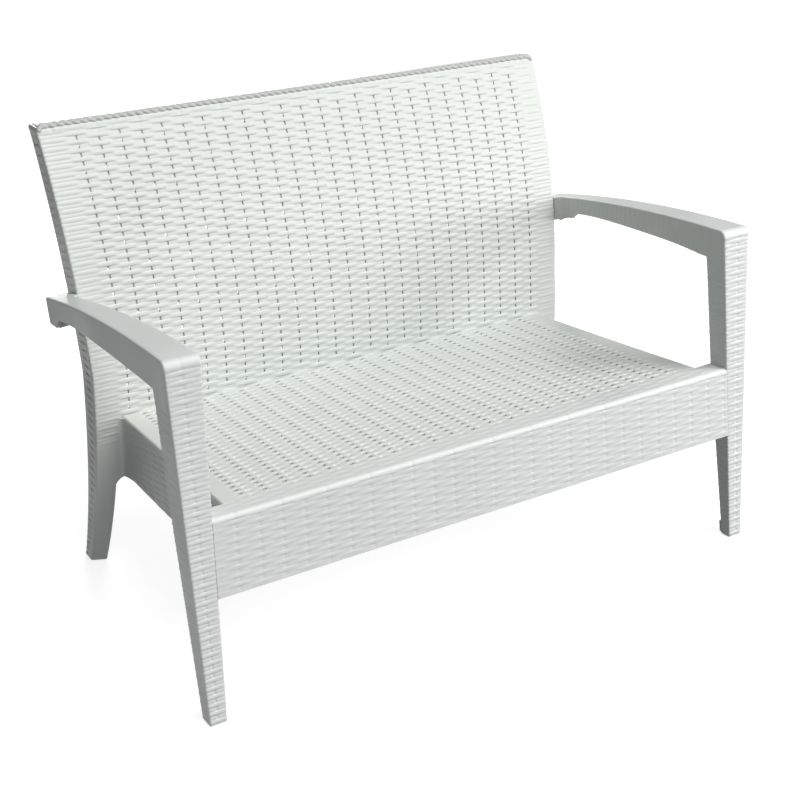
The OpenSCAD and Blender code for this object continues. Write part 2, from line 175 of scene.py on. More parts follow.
def arm_top(y):
    return ARM_Z - ARM_DROP * ((y - ARM_FRONT_Y) / (ARM_REAR_Y - ARM_FRONT_Y)) ** 2


def arm_low(y):
    """Underside of the arm, with the bracket at its rear end."""
    t = (y - LEG_REAR_Y) / (BRACKET_Y - LEG_REAR_Y)
    d = np.clip(y - BRACKET_Y, 0, BRACKET_RUN)
    r = arc_radius(BRACKET_RUN / 2, BRACKET_DROP / 2)
    near = ARM_LOW_REAR_Z - arc_drop(np.minimum(d, BRACKET_RUN / 2), r)
    far = ARM_LOW_REAR_Z - BRACKET_DROP + arc_drop(np.minimum(BRACKET_RUN - d, BRACKET_RUN / 2), r)
    under = mix(ARM_LOW_Z, ARM_LOW_REAR_Z, t) + 12 * t * (1 - t)
    return np.where(y < BRACKET_Y, under, np.where(d < BRACKET_RUN / 2, near, far))


BAND_X = back_half(ARM_LOW_REAR_Z) + GAP
ARM_REACH = face_y(ARM_LOW_REAR_Z) - ARM_FRONT_Y
MEET_RUN = 16.0


def arm_in(y):
    """Inner side of the arm, which moves out to the back's band at its rear end."""
    base = ARM_HALF - ARM_W + ARM_TAPER * (np.maximum(y - ARM_FRONT_Y, 0) / ARM_REACH) ** 1.3
    meet = ARM_HALF - ARM_W + ARM_TAPER * ((BAND_MEET_Y - ARM_FRONT_Y) / ARM_REACH) ** 1.3
    return np.where(y > BAND_MEET_Y, mix(meet, BAND_X, np.clip((y - BAND_MEET_Y) / MEET_RUN, 0, 1)), base)


APRON_TOP_Y = leg_face_y(SEAT_FRONT_Z) - 0.5
APRON_LOW_Y = leg_face_y(SKIRT_Z) - 0.5
SEAT_REAR_Y = face_y(SEAT_REAR_Z) - GAP
BORDER_REAR_Y = APRON_TOP_Y + BORDER_D


def seat_z(y):
    t = (SEAT_REAR_Y - y) / (SEAT_REAR_Y - APRON_TOP_Y)
    return SEAT_REAR_Z + (SEAT_FRONT_Z - SEAT_REAR_Z) * (0.8 * t + 0.2 * t * t)


def seat_half(y):
    y0, y1 = BORDER_REAR_Y - 40, SEAT_REAR_Y - 11
    return mix(SEAT_HALF_FRONT, SEAT_HALF_REAR, np.clip((y - y0) / (y1 - y0), 0, 1))


# ---- Mesh helpers ----

def crisp_edges(mesh):
    """Marks the edges between smooth and flat faces as sharp, so each keeps its own shading."""
    def read(items, key, kind):
        values = np.zeros(len(items), dtype=kind)
        items.foreach_get(key, values)
        return values

    edge_of = read(mesh.loops, "edge_index", int)
    rounded = np.repeat(read(mesh.polygons, "use_smooth", bool), read(mesh.polygons, "loop_total", int))
    near = np.bincount(edge_of, weights=rounded, minlength=len(mesh.edges))
    total = np.bincount(edge_of, minlength=len(mesh.edges))
    sharp = (near > 0) & (near < total)
    mesh.attributes.new("sharp_edge", "BOOLEAN", "EDGE").data.foreach_set("value", sharp)


def add_object(name, data):
    obj = bpy.data.objects.new(name, data)
    bpy.context.scene.collection.objects.link(obj)
    return obj


def make_mesh(name, verts, faces, smooth_faces, slots=None):
    """A mesh object from points in millimetres and a list of faces."""
    mesh = bpy.data.meshes.new(name)
    mesh.from_pydata((np.asarray(verts) * MM).tolist(), [], faces)
    mesh.polygons.foreach_set("use_smooth", np.array(smooth_faces, dtype=bool))
    if slots is not None:
        mesh.polygons.foreach_set("material_index", np.array(slots, dtype=np.int32))
    mesh.validate()
    mesh.update()
    crisp_edges(mesh)
    return add_object(name, mesh)


def shell(name, points, normals, heights, wall, s_keep, t_keep, side=1, holes=None, row_slots=None):
    """A closed sheet: a fine relief outside, a coarse inner side, walls round its edges and holes.

    points and normals are (ns, nt, 3), heights (ns, nt); wall is the thickness at each t line.
    The inner side has the kept lines only. side -1 mirrors the sheet, holes marks the cells
    between kept lines that are left open, and row_slots gives each row's material.
    """
    ns, nt = heights.shape
    points = points * (side, 1, 1)
    normals = normals * (side, 1, 1)
    outer = points + normals * heights[..., None]
    wall = np.broadcast_to(np.asarray(wall, float), (ns, nt))
    inner = (points - normals * wall[..., None])[np.ix_(s_keep, t_keep)]
    ks, kt = len(s_keep), len(t_keep)
    if holes is None:
        holes = np.zeros((ks - 1, kt - 1), dtype=bool)
    top_id = np.arange(ns * nt).reshape(ns, nt)
    low_id = ns * nt + np.arange(ks * kt).reshape(ks, kt)
    open_cell = np.zeros((ns - 1, nt - 1), dtype=bool)
    for i, j in zip(*np.nonzero(holes)):
        open_cell[s_keep[i]:s_keep[i + 1], t_keep[j]:t_keep[j + 1]] = True
    du = points[0, 1] - points[0, 0]
    dv = points[1, 0] - points[0, 0]
    ahead = float(np.dot(np.cross(du, dv), normals[0, 0])) > 0

    def quads(ids, left_out, forward):
        a, b, c, d = ids[:-1, :-1], ids[:-1, 1:], ids[1:, 1:], ids[1:, :-1]
        return np.stack([a, b, c, d] if forward else [a, d, c, b], -1)[~left_out].tolist()

    faces = quads(top_id, open_cell, ahead)
    n_outer = len(faces)
    slots = [MAIN] * n_outer
    if row_slots is not None:
        slots = np.broadcast_to(row_slots[:-1, None], open_cell.shape)[~open_cell].tolist()
    faces += quads(low_id, holes, not ahead)
    slots += [MAIN] * (len(faces) - n_outer)
    solid = np.zeros((ks + 1, kt + 1), dtype=bool)
    solid[1:-1, 1:-1] = ~holes

    def wall_face(chain, i0, j0, i1, j1, turn, slit):
        poly = chain.tolist() + [int(low_id[i1, j1]), int(low_id[i0, j0])]
        faces.append(poly if turn != ahead else poly[::-1])
        # Walls inside the slits take the darker resin: painted shade, standing in for the shade down in the
        # slits
        slots.append(SLIT_SHADE if slit else MAIN)

    for i in range(ks):
        for j in range(kt - 1):
            before, after = bool(solid[i, j + 1]), bool(solid[i + 1, j + 1])
            if before != after:
                chain = top_id[s_keep[i], t_keep[j]:t_keep[j + 1] + 1]
                wall_face(chain, i, j, i, j + 1, after, 0 < i < ks - 1)
    for j in range(kt):
        for i in range(ks - 1):
            before, after = bool(solid[i + 1, j]), bool(solid[i + 1, j + 1])
            if before != after:
                chain = top_id[s_keep[i]:s_keep[i + 1] + 1, t_keep[j]]
                wall_face(chain, i, j, i + 1, j, not after, 0 < j < kt - 1)
    verts = np.concatenate([outer.reshape(-1, 3), inner.reshape(-1, 3)])
    used = np.zeros(len(verts), dtype=bool)
    for face in faces:
        used[face] = True
    place = np.cumsum(used) - 1
    faces = [[int(place[v]) for v in face] for face in faces]
    smooth_faces = [i < n_outer for i in range(len(faces))]
    return make_mesh(name, verts[used], faces, smooth_faces, slots)


def loft(name, sections, rounded=False):
    """A closed solid through closed sections, all with the same number of points."""
    sections = np.asarray(sections)
    n, m, _ = sections.shape
    faces = []
    for i in range(n - 1):
        for j in range(m):
            k = (j + 1) % m
            faces.append([i * m + j, i * m + k, (i + 1) * m + k, (i + 1) * m + j])
    faces.append(list(range(m))[::-1])
    faces.append([(n - 1) * m + j for j in range(m)])
    obj = make_mesh(name, sections.reshape(-1, 3), faces, [False] * len(faces))
    bm = bmesh.new()
    bm.from_mesh(obj.data)
    bmesh.ops.recalc_face_normals(bm, faces=bm.faces)
    bm.to_mesh(obj.data)
    bm.free()
    for poly in obj.data.polygons:
        poly.use_smooth = rounded
    return obj


def level_ring(x0, x1, y0, y1, z):
    """A level rectangle for a loft that runs upwards."""
    return [[x0, y0, z], [x1, y0, z], [x1, y1, z], [x0, y1, z]]


def upright_ring(x0, x1, y, z0, z1):
    """An upright rectangle for a loft that runs to the rear."""
    return [[x0, y, z0], [x1, y, z0], [x1, y, z1], [x0, y, z1]]


def core_of(name, node, volumes):
    """What a CAD node holds inside the given volumes, as a new piece."""
    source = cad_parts[node].data
    joined = bmesh.new()
    for volume in volumes:
        base = add_object(name + "_base", source.copy())
        bm = bmesh.new()
        bm.from_mesh(base.data)
        bmesh.ops.remove_doubles(bm, verts=bm.verts, dist=2e-6)
        bm.to_mesh(base.data)
        bm.free()
        cut = base.modifiers.new("cut", "BOOLEAN")
        cut.operation = "INTERSECT"
        cut.object = volume
        cut.solver = "MANIFOLD"
        graph = bpy.context.evaluated_depsgraph_get()
        joined.from_mesh(bpy.data.meshes.new_from_object(base.evaluated_get(graph)))
        bpy.data.objects.remove(base)
        bpy.data.objects.remove(volume)
    bmesh.ops.remove_doubles(joined, verts=joined.verts, dist=1e-6)
    out = bpy.data.meshes.new(name)
    joined.to_mesh(out)
    joined.free()
    out.materials.clear()
    for poly in out.polygons:
        poly.use_smooth = False
    return add_object(name, out)


def mirror_piece(obj, name):
    """The same piece on the other side of the middle plane."""
    mesh = obj.data.copy()
    mesh.transform(Matrix.Scale(-1, 4, (1, 0, 0)))
    mesh.flip_normals()
    return add_object(name, mesh)


# ---- Grids of rows and columns ----
ROW_CUTS = (0.04, 0.22, 0.5, 0.78, 0.96)


def row_lines(start, end, pitch, phase):
    """Lines across the rows between start and end: positions, row numbers, fractions and kept lines."""
    values = [start, end]
    first, last = math.floor((start - phase) / pitch), math.floor((end - phase) / pitch)
    for row in range(first, last + 1):
        for cut in ROW_CUTS:
            s = phase + (row + cut) * pitch
            if start + 0.3 < s < end - 0.3:
                values.append(s)
    values = np.array(sorted(values))
    f = (values - phase) / pitch
    rows = np.floor(f).astype(int)
    frac = f - rows
    last = len(values) - 1
    at_edge = np.minimum(np.abs(frac - ROW_CUTS[0]), np.abs(frac - ROW_CUTS[-1])) < 1e-6
    keep = [i for i in range(last + 1) if at_edge[i] or i in (0, last)]
    return values, rows, frac, keep


def column_lines(start, end, pitch, phase, slit, offsets):
    """Lines along the columns between start and end, and the kept ones at the edges of the slits."""
    at_slit = {start: False, end: False}
    first, last = math.floor((start - phase) / pitch), math.ceil((end - phase) / pitch)
    for k in range(first, last + 1):
        x = phase + k * pitch
        for off in offsets + (pitch / 2,):
            if start + 1 < x + off < end - 1:
                at_slit[x + off] = False
        low, high = x + slit[0], x + slit[1]
        if start + 1 < low and high < end - 1:
            at_slit[low] = at_slit[high] = True
    lines = sorted(at_slit)
    keep = [i for i, v in enumerate(lines) if at_slit[v] or i in (0, len(lines) - 1)]
    return np.array(lines), keep


def column_at(u, pitch, phase):
    """Number of the nearest column, and the distance past its middle."""
    column = np.round((u - phase) / pitch)
    return column, u - phase - column * pitch


def flat_grid(flat, scale, path, extra):
    """Points, normals and u of a skin along path, with room for extra lines past its flat part."""
    y, z, ny, nz = path
    n = len(flat)
    points = np.zeros((len(y), n + extra, 3))
    normals = np.zeros_like(points)
    u = np.zeros((len(y), n + extra))
    points[:, :n, 0] = flat[None, :] * scale[:, None]
    points[:, :n, 1] = y[:, None]
    points[:, :n, 2] = z[:, None]
    normals[:, :n, 1] = ny[:, None]
    normals[:, :n, 2] = nz[:, None]
    u[:, :n] = flat[None, :]
    return points, normals, u


def round_edge(grid, first, angles, centre, r, path, side, u0):
    """Fills a grid's lines from first on with a rounded edge that turns to the side."""
    points, normals, u = grid
    ny, nz = path[2:]
    for j, a in enumerate(angles, first):
        nx = np.full_like(ny, side * math.sin(a))
        normals[:, j] = np.stack([nx, ny * math.cos(a), nz * math.cos(a)], -1)
        points[:, j] = np.stack(centre, -1) + r * normals[:, j]
        u[:, j] = side * (u0 + r * a)


def line_grid(lines):
    """Arrays of points, normals and u from one list of (point, normal, u) for each row line."""
    points = np.array([[p for p, n, u in line] for line in lines])
    normals = np.array([[n for p, n, u in line] for line in lines])
    u = np.array([[u for p, n, u in line] for line in lines])
    return points, normals, u


def slit_cells(s, rows, s_keep, flat, t_keep, span, pitch, centre, reach, shift=0):
    """Cells to leave open: every second one, with s inside span and u nearer the middle than reach.

    centre is the slit's place at column 0.
    """
    holes = np.zeros((len(s_keep) - 1, len(t_keep) - 1), dtype=bool)
    for i, (a, b) in enumerate(zip(s_keep, s_keep[1:])):
        if b - a < 3 or s[a] < span[0] or s[b] > span[1]:
            continue
        for j, (p, q) in enumerate(zip(t_keep, t_keep[1:])):
            if q - p != 1 or q >= len(flat):
                continue
            mid = 0.5 * (flat[p] + flat[q])
            k, off = column_at(mid, pitch, centre)
            if abs(off) < 0.4 and abs(mid) < reach and (rows[a + 1] + k + shift) % 2 != 0:
                holes[i, j] = True
    return holes


# ---- Reliefs ----

def alternate(rows):
    return np.where(rows % 2 == 0, 1.0, -1.0)[:, None]


def strand_edge(frac):
    """0 along the middle of a strand, rising to 1 at its edges."""
    return (np.abs(2 * frac - 1) ** 2.4)[:, None]


def over_under(rows, u, pitch, phase, flip=1):
    """Where the strands run over (1) and under (-1) the columns."""
    wave = alternate(rows) * (flip * np.cos(np.pi * (u - phase) / pitch))
    return np.sign(wave) * np.abs(wave) ** 0.45


def weave(rows, frac, u, pitch, phase, swing=0.8, crown=0.7, flip=1, groove=0.25):
    """Relief of a plain weave: strands rise over every second column and dip at the others."""
    wave = over_under(rows, u, pitch, phase, flip)
    over = smooth(-0.5, 0.6, wave)
    return SMOOTH + swing * wave - crown * strand_edge(frac) * mix(groove, 1.0, over)


def band_relief(rows, frac, depth):
    """Relief of the side bands: every second strand stands out along the middle of the band."""
    return SMOOTH + 0.8 * alternate(rows) * bell(depth - 26.0, 9.0) - 0.5 * strand_edge(frac)


# ---- Materials ----

class Shader:
    """A material round a Principled shader, whose nodes read object coordinates."""

    def __init__(self, name):
        self.material = bpy.data.materials.new(name)
        self.material.use_nodes = True
        self.nodes, self.links = self.material.node_tree.nodes, self.material.node_tree.links
        self.bsdf = self.nodes["Principled BSDF"]
        self.place = self.nodes.new("ShaderNodeTexCoord").outputs["Object"]

    def add(self, kind, source, target, **values):
        """A new node with source linked to its input target and other inputs set by name."""
        node = self.nodes.new("ShaderNode" + kind)
        for key, value in values.items():
            node.inputs[key.replace("_", " ")].default_value = value
        self.links.new(source, node.inputs[target])
        return node

    def noise(self, vector, scale, detail):
        return self.add("TexNoise", vector, "Vector", Scale=scale, Detail=detail).outputs["Fac"]

    def stretched(self, scale):
        return self.add("Mapping", self.place, 0, Scale=scale).outputs[0]

    def ramp(self, value, span, colours):
        node = self.add("ValToRGB", value, 0)
        for element, position, colour in zip(node.color_ramp.elements, span, colours):
            element.position = position
            element.color = (*colour, 1)
        return node.outputs[0]

    def finish(self, colour, rough, height, strength, distance):
        """Links colour and roughness, and a bump of the height's relief."""
        bump = self.add("Bump", height, "Height", Strength=strength, Distance=distance)
        self.links.new(colour, self.bsdf.inputs["Base Color"])
        self.links.new(rough, self.bsdf.inputs["Roughness"])
        self.links.new(bump.outputs[0], self.bsdf.inputs["Normal"])
        return self.material


def resin(name, tint, grain_axis, rough=0.42):
    """Moulded white polypropylene: faint mottling, fine specks and a grain along the strands."""
    mat = Shader(name)
    grain = mat.noise(mat.stretched(grain_axis), 900.0, 3.0)
    cloud = mat.noise(mat.place, 7.0, 4.0)
    fine = mat.noise(mat.place, 260.0, 2.0)
    shaded = (tint[0] * 0.955, tint[1] * 0.96, tint[2] * 0.955)
    mottled = mat.ramp(cloud, (0.3, 0.72), (shaded, tint))
    speck = mat.add("MapRange", fine, "Value", From_Min=0.35, From_Max=0.75, To_Min=0.975, To_Max=1.0)
    shade = mat.nodes.new("ShaderNodeMix")
    shade.data_type = "RGBA"
    shade.blend_type = "MULTIPLY"
    shade.inputs["Factor"].default_value = 1.0
    mat.links.new(mottled, shade.inputs[6])
    mat.links.new(speck.outputs[0], shade.inputs[7])
    dull = mat.add("MapRange", cloud, "Value", From_Min=0.3, From_Max=0.7,
                   To_Min=rough - 0.05, To_Max=rough + 0.07)
    mat.bsdf.inputs["IOR"].default_value = 1.49
    return mat.finish(shade.outputs[2], dull.outputs[0], grain, 0.25, 0.25 * MM)


def plain_material(name, base, dark, metallic, rough, scale, stretch=(1, 1, 1), bump_mm=0.05):
    """A hard material with mottled colour and roughness and a fine bump."""
    mat = Shader(name)
    noise = mat.noise(mat.stretched(stretch), scale, 5.0)
    mottled = mat.ramp(noise, (0.32, 0.68), (dark, base))
    dull = mat.add("MapRange", noise, "Value", To_Min=rough - 0.08, To_Max=rough + 0.1)
    mat.bsdf.inputs["Metallic"].default_value = metallic
    return mat.finish(mottled, dull.outputs[0], noise, 0.4, bump_mm * MM)


MAT_BEAD = resin("resin_rope", (0.46, 0.472, 0.455), (0.3, 1, 1), 0.5)
# Darker resin for the walls of the slits: painted shade where the slits lie in shade
MAT_SLIT_SHADE = resin("resin_painted_slit_shade", (0.30, 0.31, 0.30), (1, 1, 1), 0.6)
# Nearly white resin on the rounded noses: a painted highlight along the edge that catches the light
MAT_NOSE_HIGHLIGHT = resin("resin_painted_highlight", (0.97, 0.975, 0.96), (0.3, 1, 1), 0.28)
MAT_ACROSS = resin("resin_strands_across", (0.62, 0.643, 0.622), (0.12, 1, 1))
MAT_FRONT = resin("resin_strands_front", (0.625, 0.642, 0.636), (0.12, 1, 1))
# Lighter resin on the smooth front border: painted light, standing in for the light the smooth border catches
MAT_BORDER_LIGHT = resin("resin_painted_light_border", (0.76, 0.775, 0.755), (0.3, 1, 1), 0.36)
MAT_WRAP = resin("resin_strands_wrapped", (0.617, 0.640, 0.632), (0.5, 0.5, 1))
MAT_PLAIN = resin("resin_plain", (0.61, 0.632, 0.615), (0.4, 0.4, 0.4), 0.5)


def finish_piece(obj, mat, replaced=()):
    """Gives a piece its materials and its finish, and lets it ride on the bench."""
    obj.data.materials.clear()
    obj.data.materials.append(mat)
    highest = max(poly.material_index for poly in obj.data.polygons)
    # Pieces with slits or a nose also get the painted slit shade and the painted highlight
    if highest > MAIN:
        obj.data.materials.append(MAT_SLIT_SHADE)
        obj.data.materials.append(MAT_NOSE_HIGHLIGHT)
    # The front border also gets the lighter resin of painted light
    if highest > EDGE:
        obj.data.materials.append(MAT_BORDER_LIGHT)
    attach(obj, "root")
    if replaced:
        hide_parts(*replaced)


# ---- Back ----
CORNER_R = 4.0
CORNER_U = HALF_TOP - CORNER_R
BAND_U = CORNER_U + CORNER_R * math.pi / 2
BAND_LINES = np.array([0.0, 3.5, 12.0, 20.0, 28.0, 36.0, 44.0, 50.0]) / 50.0
PANEL_END, STRIP_END = 478.0, 505.0
BACK_COLUMN = COL_BACK / 2
BACK_SLIT = (-1.6, 1.6)
BACK_OFFSETS = (-17.5, -13.5, -8.0, -4.0, 4.0, 8.0, 13.5, 17.5)
TOP_ROW = 14.5
LOW_SLIT_Z, TOP_SLIT_GAP = 341.0, 20.0
CORE_INSET = WALL + 0.05


def face_at(s):
    """Depth, height and outward normal of the back's front face, at a distance up from the upright point."""
    up = s > 0
    a = np.where(up, s / FACE_UP, -s / FACE_DOWN)
    z = np.where(up, UPRIGHT_Z + FACE_UP * np.sin(a), UPRIGHT_Z - FACE_DOWN * np.sin(a))
    y = UPRIGHT_Y + np.where(up, FACE_UP, FACE_DOWN) * (1 - np.cos(a))
    return y, z, -np.cos(a), np.where(up, np.sin(a), -np.sin(a))


def face_s(z):
    """The distance along the front face from the upright point to height z."""
    d = z - UPRIGHT_Z
    return FACE_UP * math.asin(d / FACE_UP) if d > 0 else -FACE_DOWN * math.asin(-d / FACE_DOWN)


BACK_PHASE = face_s(706.0) - 0.5 * ROW_BACK
BACK_TOP_S = face_s(BENCH_H - BEAD_R)


def back_grid(s, flat, angles):
    """Grid of the back's right half: the panel, the corner at the angles, and the band."""
    path = y, z, ny, nz = face_at(s)
    half = back_halfwidth(z)
    cx, cy, cz = half - CORNER_R, y - CORNER_R * ny, z - CORNER_R * nz
    grid = points, normals, u = flat_grid(flat, cx / CORNER_U, path, len(angles) + len(BAND_LINES))
    round_edge(grid, len(flat), angles, (cx, cy, cz), CORNER_R, path, 1, CORNER_U)
    # The band's rows stand square to the face, and turn level under the top edge
    depth = (band_y(z) - face_y(z)) * -ny - CORNER_R
    level = smooth(BENCH_H - 75.0, BENCH_H - 12.0, z)
    end_y = mix(cy - depth * ny, band_y(z), level)
    end_z = mix(cz - depth * nz, z, level)
    for j, d in enumerate(BAND_LINES, len(flat) + len(angles)):
        normals[:, j, 0] = 1.0
        points[:, j] = np.stack([half, mix(cy, end_y, d), mix(cz, end_z, d)], -1)
        u[:, j] = BAND_U + depth * d
    return points, normals, u, z


def back_relief(s, z, rows, frac, u, flip, shift):
    """Relief of the back: woven panel, long strands on its outer strips, the band, the top row."""
    heights = weave(rows, frac, u, COL_BACK, BACK_COLUMN, swing=0.75, crown=0.75, flip=flip)
    wave = over_under(rows, u, COL_BACK, BACK_COLUMN, flip)
    strips = 0.2 * wave - 0.75 * strand_edge(frac) + SMOOTH
    heights = mix(heights, strips, smooth(PANEL_END, STRIP_END, u))
    heights = heights * mix(0.8, 1.35, smooth(430.0, 800.0, z))[:, None]
    band = band_relief(rows, frac, u - BAND_U + CORNER_R)
    heights = mix(heights, band, smooth(HALF_TOP, HALF_TOP + 5, u))
    # The band's last rows, which close up under the top edge, run smooth
    calm = smooth(HALF_TOP - 2, HALF_TOP + 4, u) * smooth(BENCH_H - 34.0, BENCH_H - 16.0, z)[:, None]
    heights = mix(heights, SMOOTH, calm)
    # Below the seat the panel's outer strips run smooth into the legs
    outer = smooth(480.0, 492.0, u) * (1 - smooth(HALF_TOP - 8, HALF_TOP - 3, u))
    heights = mix(heights, -0.15, outer * (1 - smooth(268.0, 305.0, z))[:, None])
    # Strand ends turn down beside each slit
    column, off = column_at(u, COL_BACK, BACK_COLUMN)
    is_slit = (rows[:, None] + column + shift) % 2 != 0
    heights -= np.where(is_slit & (u < PANEL_END), 0.5 * bell(off, 3.5), 0.0)
    # The last row at the top is a long flat strand, with joints at every second column
    joint_u = COL_BACK * (2 * np.round((u - BACK_COLUMN) / (2 * COL_BACK)) + 0.5)
    up_row = s - (BACK_TOP_S - TOP_ROW)
    across = np.abs(2 * np.clip(up_row / 12.5, 0, 1) - 1)[:, None] ** 3
    return np.where((up_row > 0)[:, None], 0.5 - 1.6 * across - 1.3 * bell(u - joint_u, 2.2), heights)


def back_side(name, side):
    """Half of the back: panel from the middle out, corner and side band, woven in one piece."""
    s, rows, frac, s_keep = row_lines(face_s(RAIL_Z), BACK_TOP_S, ROW_BACK, BACK_PHASE)
    flat, flat_keep = column_lines(0.0, CORNER_U, COL_BACK, BACK_COLUMN, BACK_SLIT, BACK_OFFSETS)
    angles = np.array([0.25, 0.5, 0.75]) * math.pi / 2
    points, normals, u, z = back_grid(s, flat, angles)
    shift = 0 if side > 0 else 1
    heights = back_relief(s, z, rows, frac, u, side, shift)
    n_flat, n_band = len(flat), len(flat) + len(angles)
    nt = n_band + len(BAND_LINES)
    wall = np.full(nt, WALL)
    wall[n_flat:n_band] = WALL * 1.1
    t_keep = flat_keep[:-1] + [n_flat + 1, n_band + 2, nt - 1]
    span = (face_s(LOW_SLIT_Z), BACK_TOP_S - TOP_SLIT_GAP)
    holes = slit_cells(s, rows, s_keep, flat, t_keep, span, COL_BACK, BACK_COLUMN, PANEL_END, shift)
    return shell(name, points, normals, heights, wall, s_keep, t_keep, side, holes)


def panel_room():
    """The room behind the panel and inside the bands, where the CAD model's ribs stand."""
    low, high = np.linspace(RAIL_Z - 1, UPRIGHT_Z, 24), np.linspace(UPRIGHT_Z + 10, BENCH_H + 1, 36)
    rings = []
    for z in np.concatenate([low, high]):
        half = back_halfwidth(min(z, BENCH_H - 1)) - CORE_INSET
        front, rear = face_y(min(z, BENCH_H)) + CORE_INSET, band_y(min(z, BENCH_H)) + 2
        rings.append(level_ring(-half, half, front, rear, z))
    return loft("room_panel", rings)


def leg_room():
    """The open channel of the right rear leg."""
    rings = []
    for z in np.linspace(-1, RAIL_Z, 24):
        inner, outer = rear_leg_in(z) + LEG_INSET, back_half(z) - CORE_INSET
        rings.append(level_ring(inner, outer, face_y(z) + CORE_INSET, band_y(z) + 2, z))
    return loft("room_leg", rings)


def make_back():
    right, left = back_side("back_weave_right", 1), back_side("back_weave_left", -1)
    core = core_of("back_frame", "back_shell", [panel_room()])
    leg_right = core_of("rear_leg_webs_right", "back_shell", [leg_room()])
    leg_left = mirror_piece(leg_right, "rear_leg_webs_left")
    finish_piece(right, MAT_ACROSS, ["back_shell"])
    finish_piece(left, MAT_ACROSS)
    for piece in (core, leg_right, leg_left):
        finish_piece(piece, MAT_PLAIN)


# ---- Channels: the rear legs and the arms, woven round three sides ----

def channel_line(face, outer_edge, inner_edge, x_out, x_in, r, normal, u_joint, face_steps, side_steps):
    """Points round a channel at one row: outer side from its open edge, face, inner side.

    face is the face point, normal its normal and the edges the open ends, all in (y, z);
    x_out and x_in give the two sides' x at (y, z). u is 0 on the face, at u_joint from its outer side.
    """
    q, n = np.array(face, float), np.array(normal, float)
    start = q - r * n
    outer_run, inner_run = np.array(outer_edge, float) - start, np.array(inner_edge, float) - start
    reach_out, reach_in = np.linalg.norm(outer_run), np.linalg.norm(inner_run)
    xo, xi = x_out(*q), x_in(*q)
    width = xo - xi
    line = []

    def corner(a, x, turn, u):
        nx, nn = math.sin(a * math.pi / 2), n * math.cos(a * math.pi / 2)
        p = start + r * nn
        line.append(((x + turn * r * nx, p[0], p[1]), (turn * nx, nn[0], nn[1]), u))

    for t in side_steps[::-1]:
        p = start + outer_run * t
        line.append(((x_out(*p), p[0], p[1]), (1.0, 0.0, 0.0), -(u_joint + reach_out * t)))
    for a in (0.75, 0.5, 0.25):
        corner(a, xo - r, 1, -(u_joint - r * (1 - a)))
    for f in face_steps:
        x = mix(xo - r, xi + r, f)
        line.append(((x, q[0], q[1]), (0.0, n[0], n[1]), (xo - x) - u_joint))
    for a in (0.25, 0.5, 0.75):
        corner(a, xi + r, -1, width - u_joint + r * (a - 0.5))
    for t in side_steps:
        p = start + inner_run * t
        line.append(((x_in(*p), p[0], p[1]), (-1.0, 0.0, 0.0), width - u_joint + reach_in * t))
    return line


# ---- Rear legs, the fillets under the rail and the bead ----
LEG_R = 3.0
LEG_WALL, LEG_INSET = 4.2, 4.05
LEG_JOINT_U = 12.0


def turned(line, half, inner, front_y, rear_y, turn):
    """A leg's channel line with the rear edge of its inner side turned forward."""
    tilt = turn / (half - inner)
    out = []
    for p, n, u in line:
        inward = np.clip((half - p[0]) / (half - inner), 0, 1)
        depth = np.clip((rear_y - p[1]) / (rear_y - front_y), 0, 1)
        n = np.array(n)
        if abs(n[0]) < 0.99:
            n = n + np.array([-tilt * (1 - abs(n[0])), 0, 0])
            n = n / np.linalg.norm(n)
        out.append(((p[0], p[1] - turn * inward * depth, p[2]), tuple(n), u))
    return out


def rear_leg(name, side):
    """Rear leg below the rail: its outer side goes on with the strands of the back's band."""
    s, rows, frac, s_keep = row_lines(face_s(FOOT_GAP), face_s(RAIL_Z + 0.02), ROW_BACK, BACK_PHASE)
    face_steps = np.array([0.0, 0.2, 0.4, 0.6, 0.8, 1.0])
    side_steps = np.array([0.0, 0.1, 0.3, 0.5, 0.7, 0.88, 1.0])
    lines = []
    for y, z, ny, nz in zip(*(map(float, values) for values in face_at(s))):
        half, inner = back_half(z), rear_leg_in(z)
        reach = band_y(z) - y
        square = smooth(RAIL_Z - 90.0, RAIL_Z - 5.0, z)
        rear = (mix(y + reach, y + reach * ny * ny, square), mix(z, z + reach * ny * nz, square))
        line = channel_line((y, z), rear, rear, lambda *at, x=half: x, lambda *at, x=inner: x,
                            LEG_R, (ny, nz), LEG_JOINT_U, face_steps, side_steps)
        lines.append(turned(line, half, inner, y, rear[0], foot_turn(z)))
    points, normals, u = line_grid(lines)
    nt, n_side, n_face = u.shape[1], len(side_steps), len(face_steps)
    first_face, n_band = n_side + 3, n_side + 2
    heights = -0.15 - 0.12 * strand_edge(frac) + np.zeros_like(u)
    heights[:, :n_band] = band_relief(rows, frac, -u[:, :n_band] - LEG_JOINT_U + LEG_R)
    last_corner = first_face + n_face + 1
    t_keep = [0, n_side - 3, n_side + 1, first_face + 2, first_face + 3, last_corner, nt - 3, nt - 1]
    return shell(name, points, normals, heights, np.full(nt, LEG_WALL), s_keep, t_keep, side)


def rail_fillet(name, side):
    """The CAD model's fillet under the rail, beside the leg."""
    y0, y1 = face_y(225) - 20, band_y(225) + 20
    x0, x1 = sorted((side * 470.0, side * (RIB_X + 0.2)))
    box = [level_ring(x0, x1, y0, y1, z) for z in (205.0, RAIL_Z + 0.3)]
    return core_of(name, "back_shell", [loft("room_fillet", box)])


